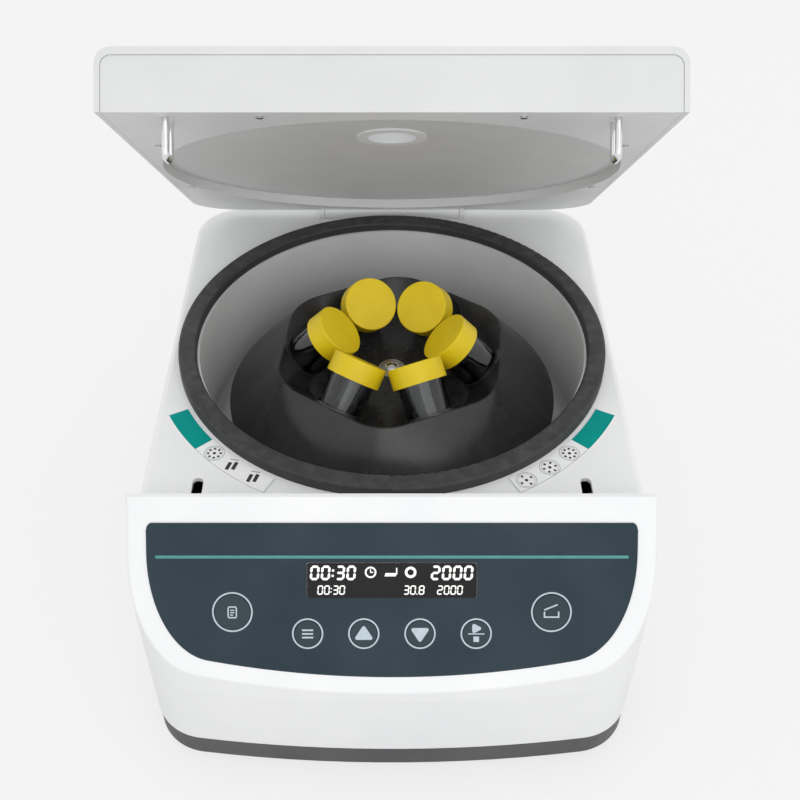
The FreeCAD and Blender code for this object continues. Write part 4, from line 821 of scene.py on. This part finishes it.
# %% Deck signs
SIGN_RADIUS = 145.0 * MM
SIGN_ANGLES = {-1: (44.6, 50.6, 57.0), 1: (44.6, 51.3, 58.2)}
DISC_RINGS = ((5.75 * MM, 6.15 * MM), (4.75 * MM, 5.05 * MM))
DISC_STEPS = 40
MOST_HOLES = 8
FEWER_HOLES = 2
HOLE_TURN = 20
HOLE_CIRCLE = 3.6 * MM
HOLE_RADIUS = 0.8 * MM
HOLE_STEPS = 12
HUB_RADIUS = 1.0 * MM
HUB_STEPS = 16
TUBE_OFFSETS = (-1.8 * MM, 1.8 * MM)
TUBE_SIGN = bar((-1.1, -2.9), (0.8, 2.9), 2.2)
TUBE_BAR = bar((-1.4, 5.5), (3.6, 4.3), 0.9)


def rotor_sign(pale, dark, middle, holes, start):
    """A rotor from above: two thin rings, a circle of holes and a hub."""
    for inner, outer in DISC_RINGS:
        add_ring(pale, middle, inner, outer, DECK_TURN, label_top, DISC_STEPS)
    for k in range(holes):
        turn = math.radians(360 * k / holes + start)
        spot = (middle[0] + HOLE_CIRCLE * math.cos(turn), middle[1] + HOLE_CIRCLE * math.sin(turn))
        add_prism(dark, arc(spot, HOLE_RADIUS, 0, 360, HOLE_STEPS)[:-1], DECK_TURN, label_top)
    add_prism(dark, arc(middle, HUB_RADIUS, 0, 360, HUB_STEPS)[:-1], DECK_TURN, label_top)


def tubes_sign(pale, dark, middle):
    """Two tubes side by side under a thin bar."""
    for offset in TUBE_OFFSETS:
        spot = (middle[0] + offset, middle[1])
        add_prism(dark, shifted(TUBE_SIGN, spot), DECK_TURN, label_top)
    add_prism(pale, shifted(TUBE_BAR, middle), DECK_TURN, label_top)


def deck_print(side):
    name = "left" if side < 0 else "right"
    teal = bmesh.new()
    add_prism(teal, deck_band(side, TEAL_INNER, TEAL_OUTER, TEAL_START, TEAL_END), DECK_TURN, label_top)
    finish_print("deck_teal_" + name, teal, teal_ink, "housing")
    pale, dark = bmesh.new(), bmesh.new()
    label_border(pale, side)
    for order, angle in enumerate(SIGN_ANGLES[side]):
        middle = deck_point(side, SIGN_RADIUS, angle)
        if side > 0 or order == 0:
            rotor_sign(pale, dark, middle, MOST_HOLES - FEWER_HOLES * order, HOLE_TURN * order)
        else:
            tubes_sign(pale, dark, middle)
    finish_print("deck_signs_pale_" + name, pale, grey_ink, "housing")
    finish_print("deck_signs_dark_" + name, dark, black_ink, "housing")


deck_print(-1)
deck_print(1)
print("deck print made")

# %% [markdown]
# The studio. A plain white sky lights everything evenly, so that each colour shows about as it is mixed,
# and two large soft lamps in front add the modelling. The floor is pale to the eye, in metal and through
# glass, yet it sends the object only the light of grey paper, and it still takes the object's shadow.

# %% Floor and sky
def seen_directly(tree):
    """1 for camera, mirror and glass rays, and 0 for the light that the floor sends to the object."""
    path = tree.nodes.new("ShaderNodeLightPath")
    clear = calculate(tree, "MAXIMUM", path.outputs["Is Camera Ray"], path.outputs["Is Transmission Ray"])
    return calculate(tree, "MAXIMUM", clear, path.outputs["Is Glossy Ray"])


SKY_STRENGTH = 1.0
FLOOR_HALF = 6.0
FLOOR_GREY = 0.62
FLOOR_ROUGHNESS = 0.9
FLOOR_GLOW = 0.72

sky = bpy.data.worlds.new("studio")
sky.use_nodes = True
bpy.context.scene.world = sky
background = sky.node_tree.nodes["Background"]
background.inputs["Color"].default_value = (1, 1, 1, 1)
background.inputs["Strength"].default_value = SKY_STRENGTH

floor_corners = [(x, y, 0) for x, y in box_outline((0, 0), 2 * FLOOR_HALF, 2 * FLOOR_HALF)]
floor_mesh = bpy.data.meshes.new("studio_floor")
floor_mesh.from_pydata(floor_corners, [], [(0, 1, 2, 3)])
floor = bpy.data.objects.new("studio_floor", floor_mesh)
bpy.context.scene.collection.objects.link(floor)

floor_paint = bpy.data.materials.new("studio paper")
floor_paint.use_nodes = True
paper = floor_paint.node_tree
matt = paper.nodes["Principled BSDF"]
matt.inputs["Base Color"].default_value = rgba((FLOOR_GREY, FLOOR_GREY, FLOOR_GREY))
matt.inputs["Roughness"].default_value = FLOOR_ROUGHNESS
glow = paper.nodes.new("ShaderNodeEmission")
mixer = paper.nodes.new("ShaderNodeMixShader")
paper.links.new(calculate(paper, "MULTIPLY", seen_directly(paper), FLOOR_GLOW), mixer.inputs["Fac"])
paper.links.new(matt.outputs[0], mixer.inputs[1])
paper.links.new(glow.outputs[0], mixer.inputs[2])
paper.links.new(mixer.outputs[0], paper.nodes["Material Output"].inputs["Surface"])
dress(floor, floor_paint)
print("floor and sky made")

# %% Lamps
OBJECT_MIDDLE = (cad_low + cad_high) / 2
LAMPS = {
    "key_lamp": {"place": (0.5, -1.7, 1.7), "width": 2.0, "height": 1.2, "power": 8.0},
    "front_lamp": {"place": (0.35, -2.2, 0.75), "width": 2.2, "height": 1.0, "power": 4.0},
}


def area_lamp(name, place, aim, width, height, power):
    """A soft lamp that faces aim, in metres and watts."""
    data = bpy.data.lights.new(name, "AREA")
    data.shape = "RECTANGLE"
    data.size = width
    data.size_y = height
    data.energy = power
    lamp = bpy.data.objects.new(name, data)
    lamp.location = place
    lamp.rotation_mode = "QUATERNION"
    lamp.rotation_quaternion = (Vector(aim) - Vector(place)).to_track_quat("-Z", "Y")
    bpy.context.scene.collection.objects.link(lamp)


for name, form in LAMPS.items():
    area_lamp(name, aim=OBJECT_MIDDLE, **form)
print("lamps:", len(LAMPS))
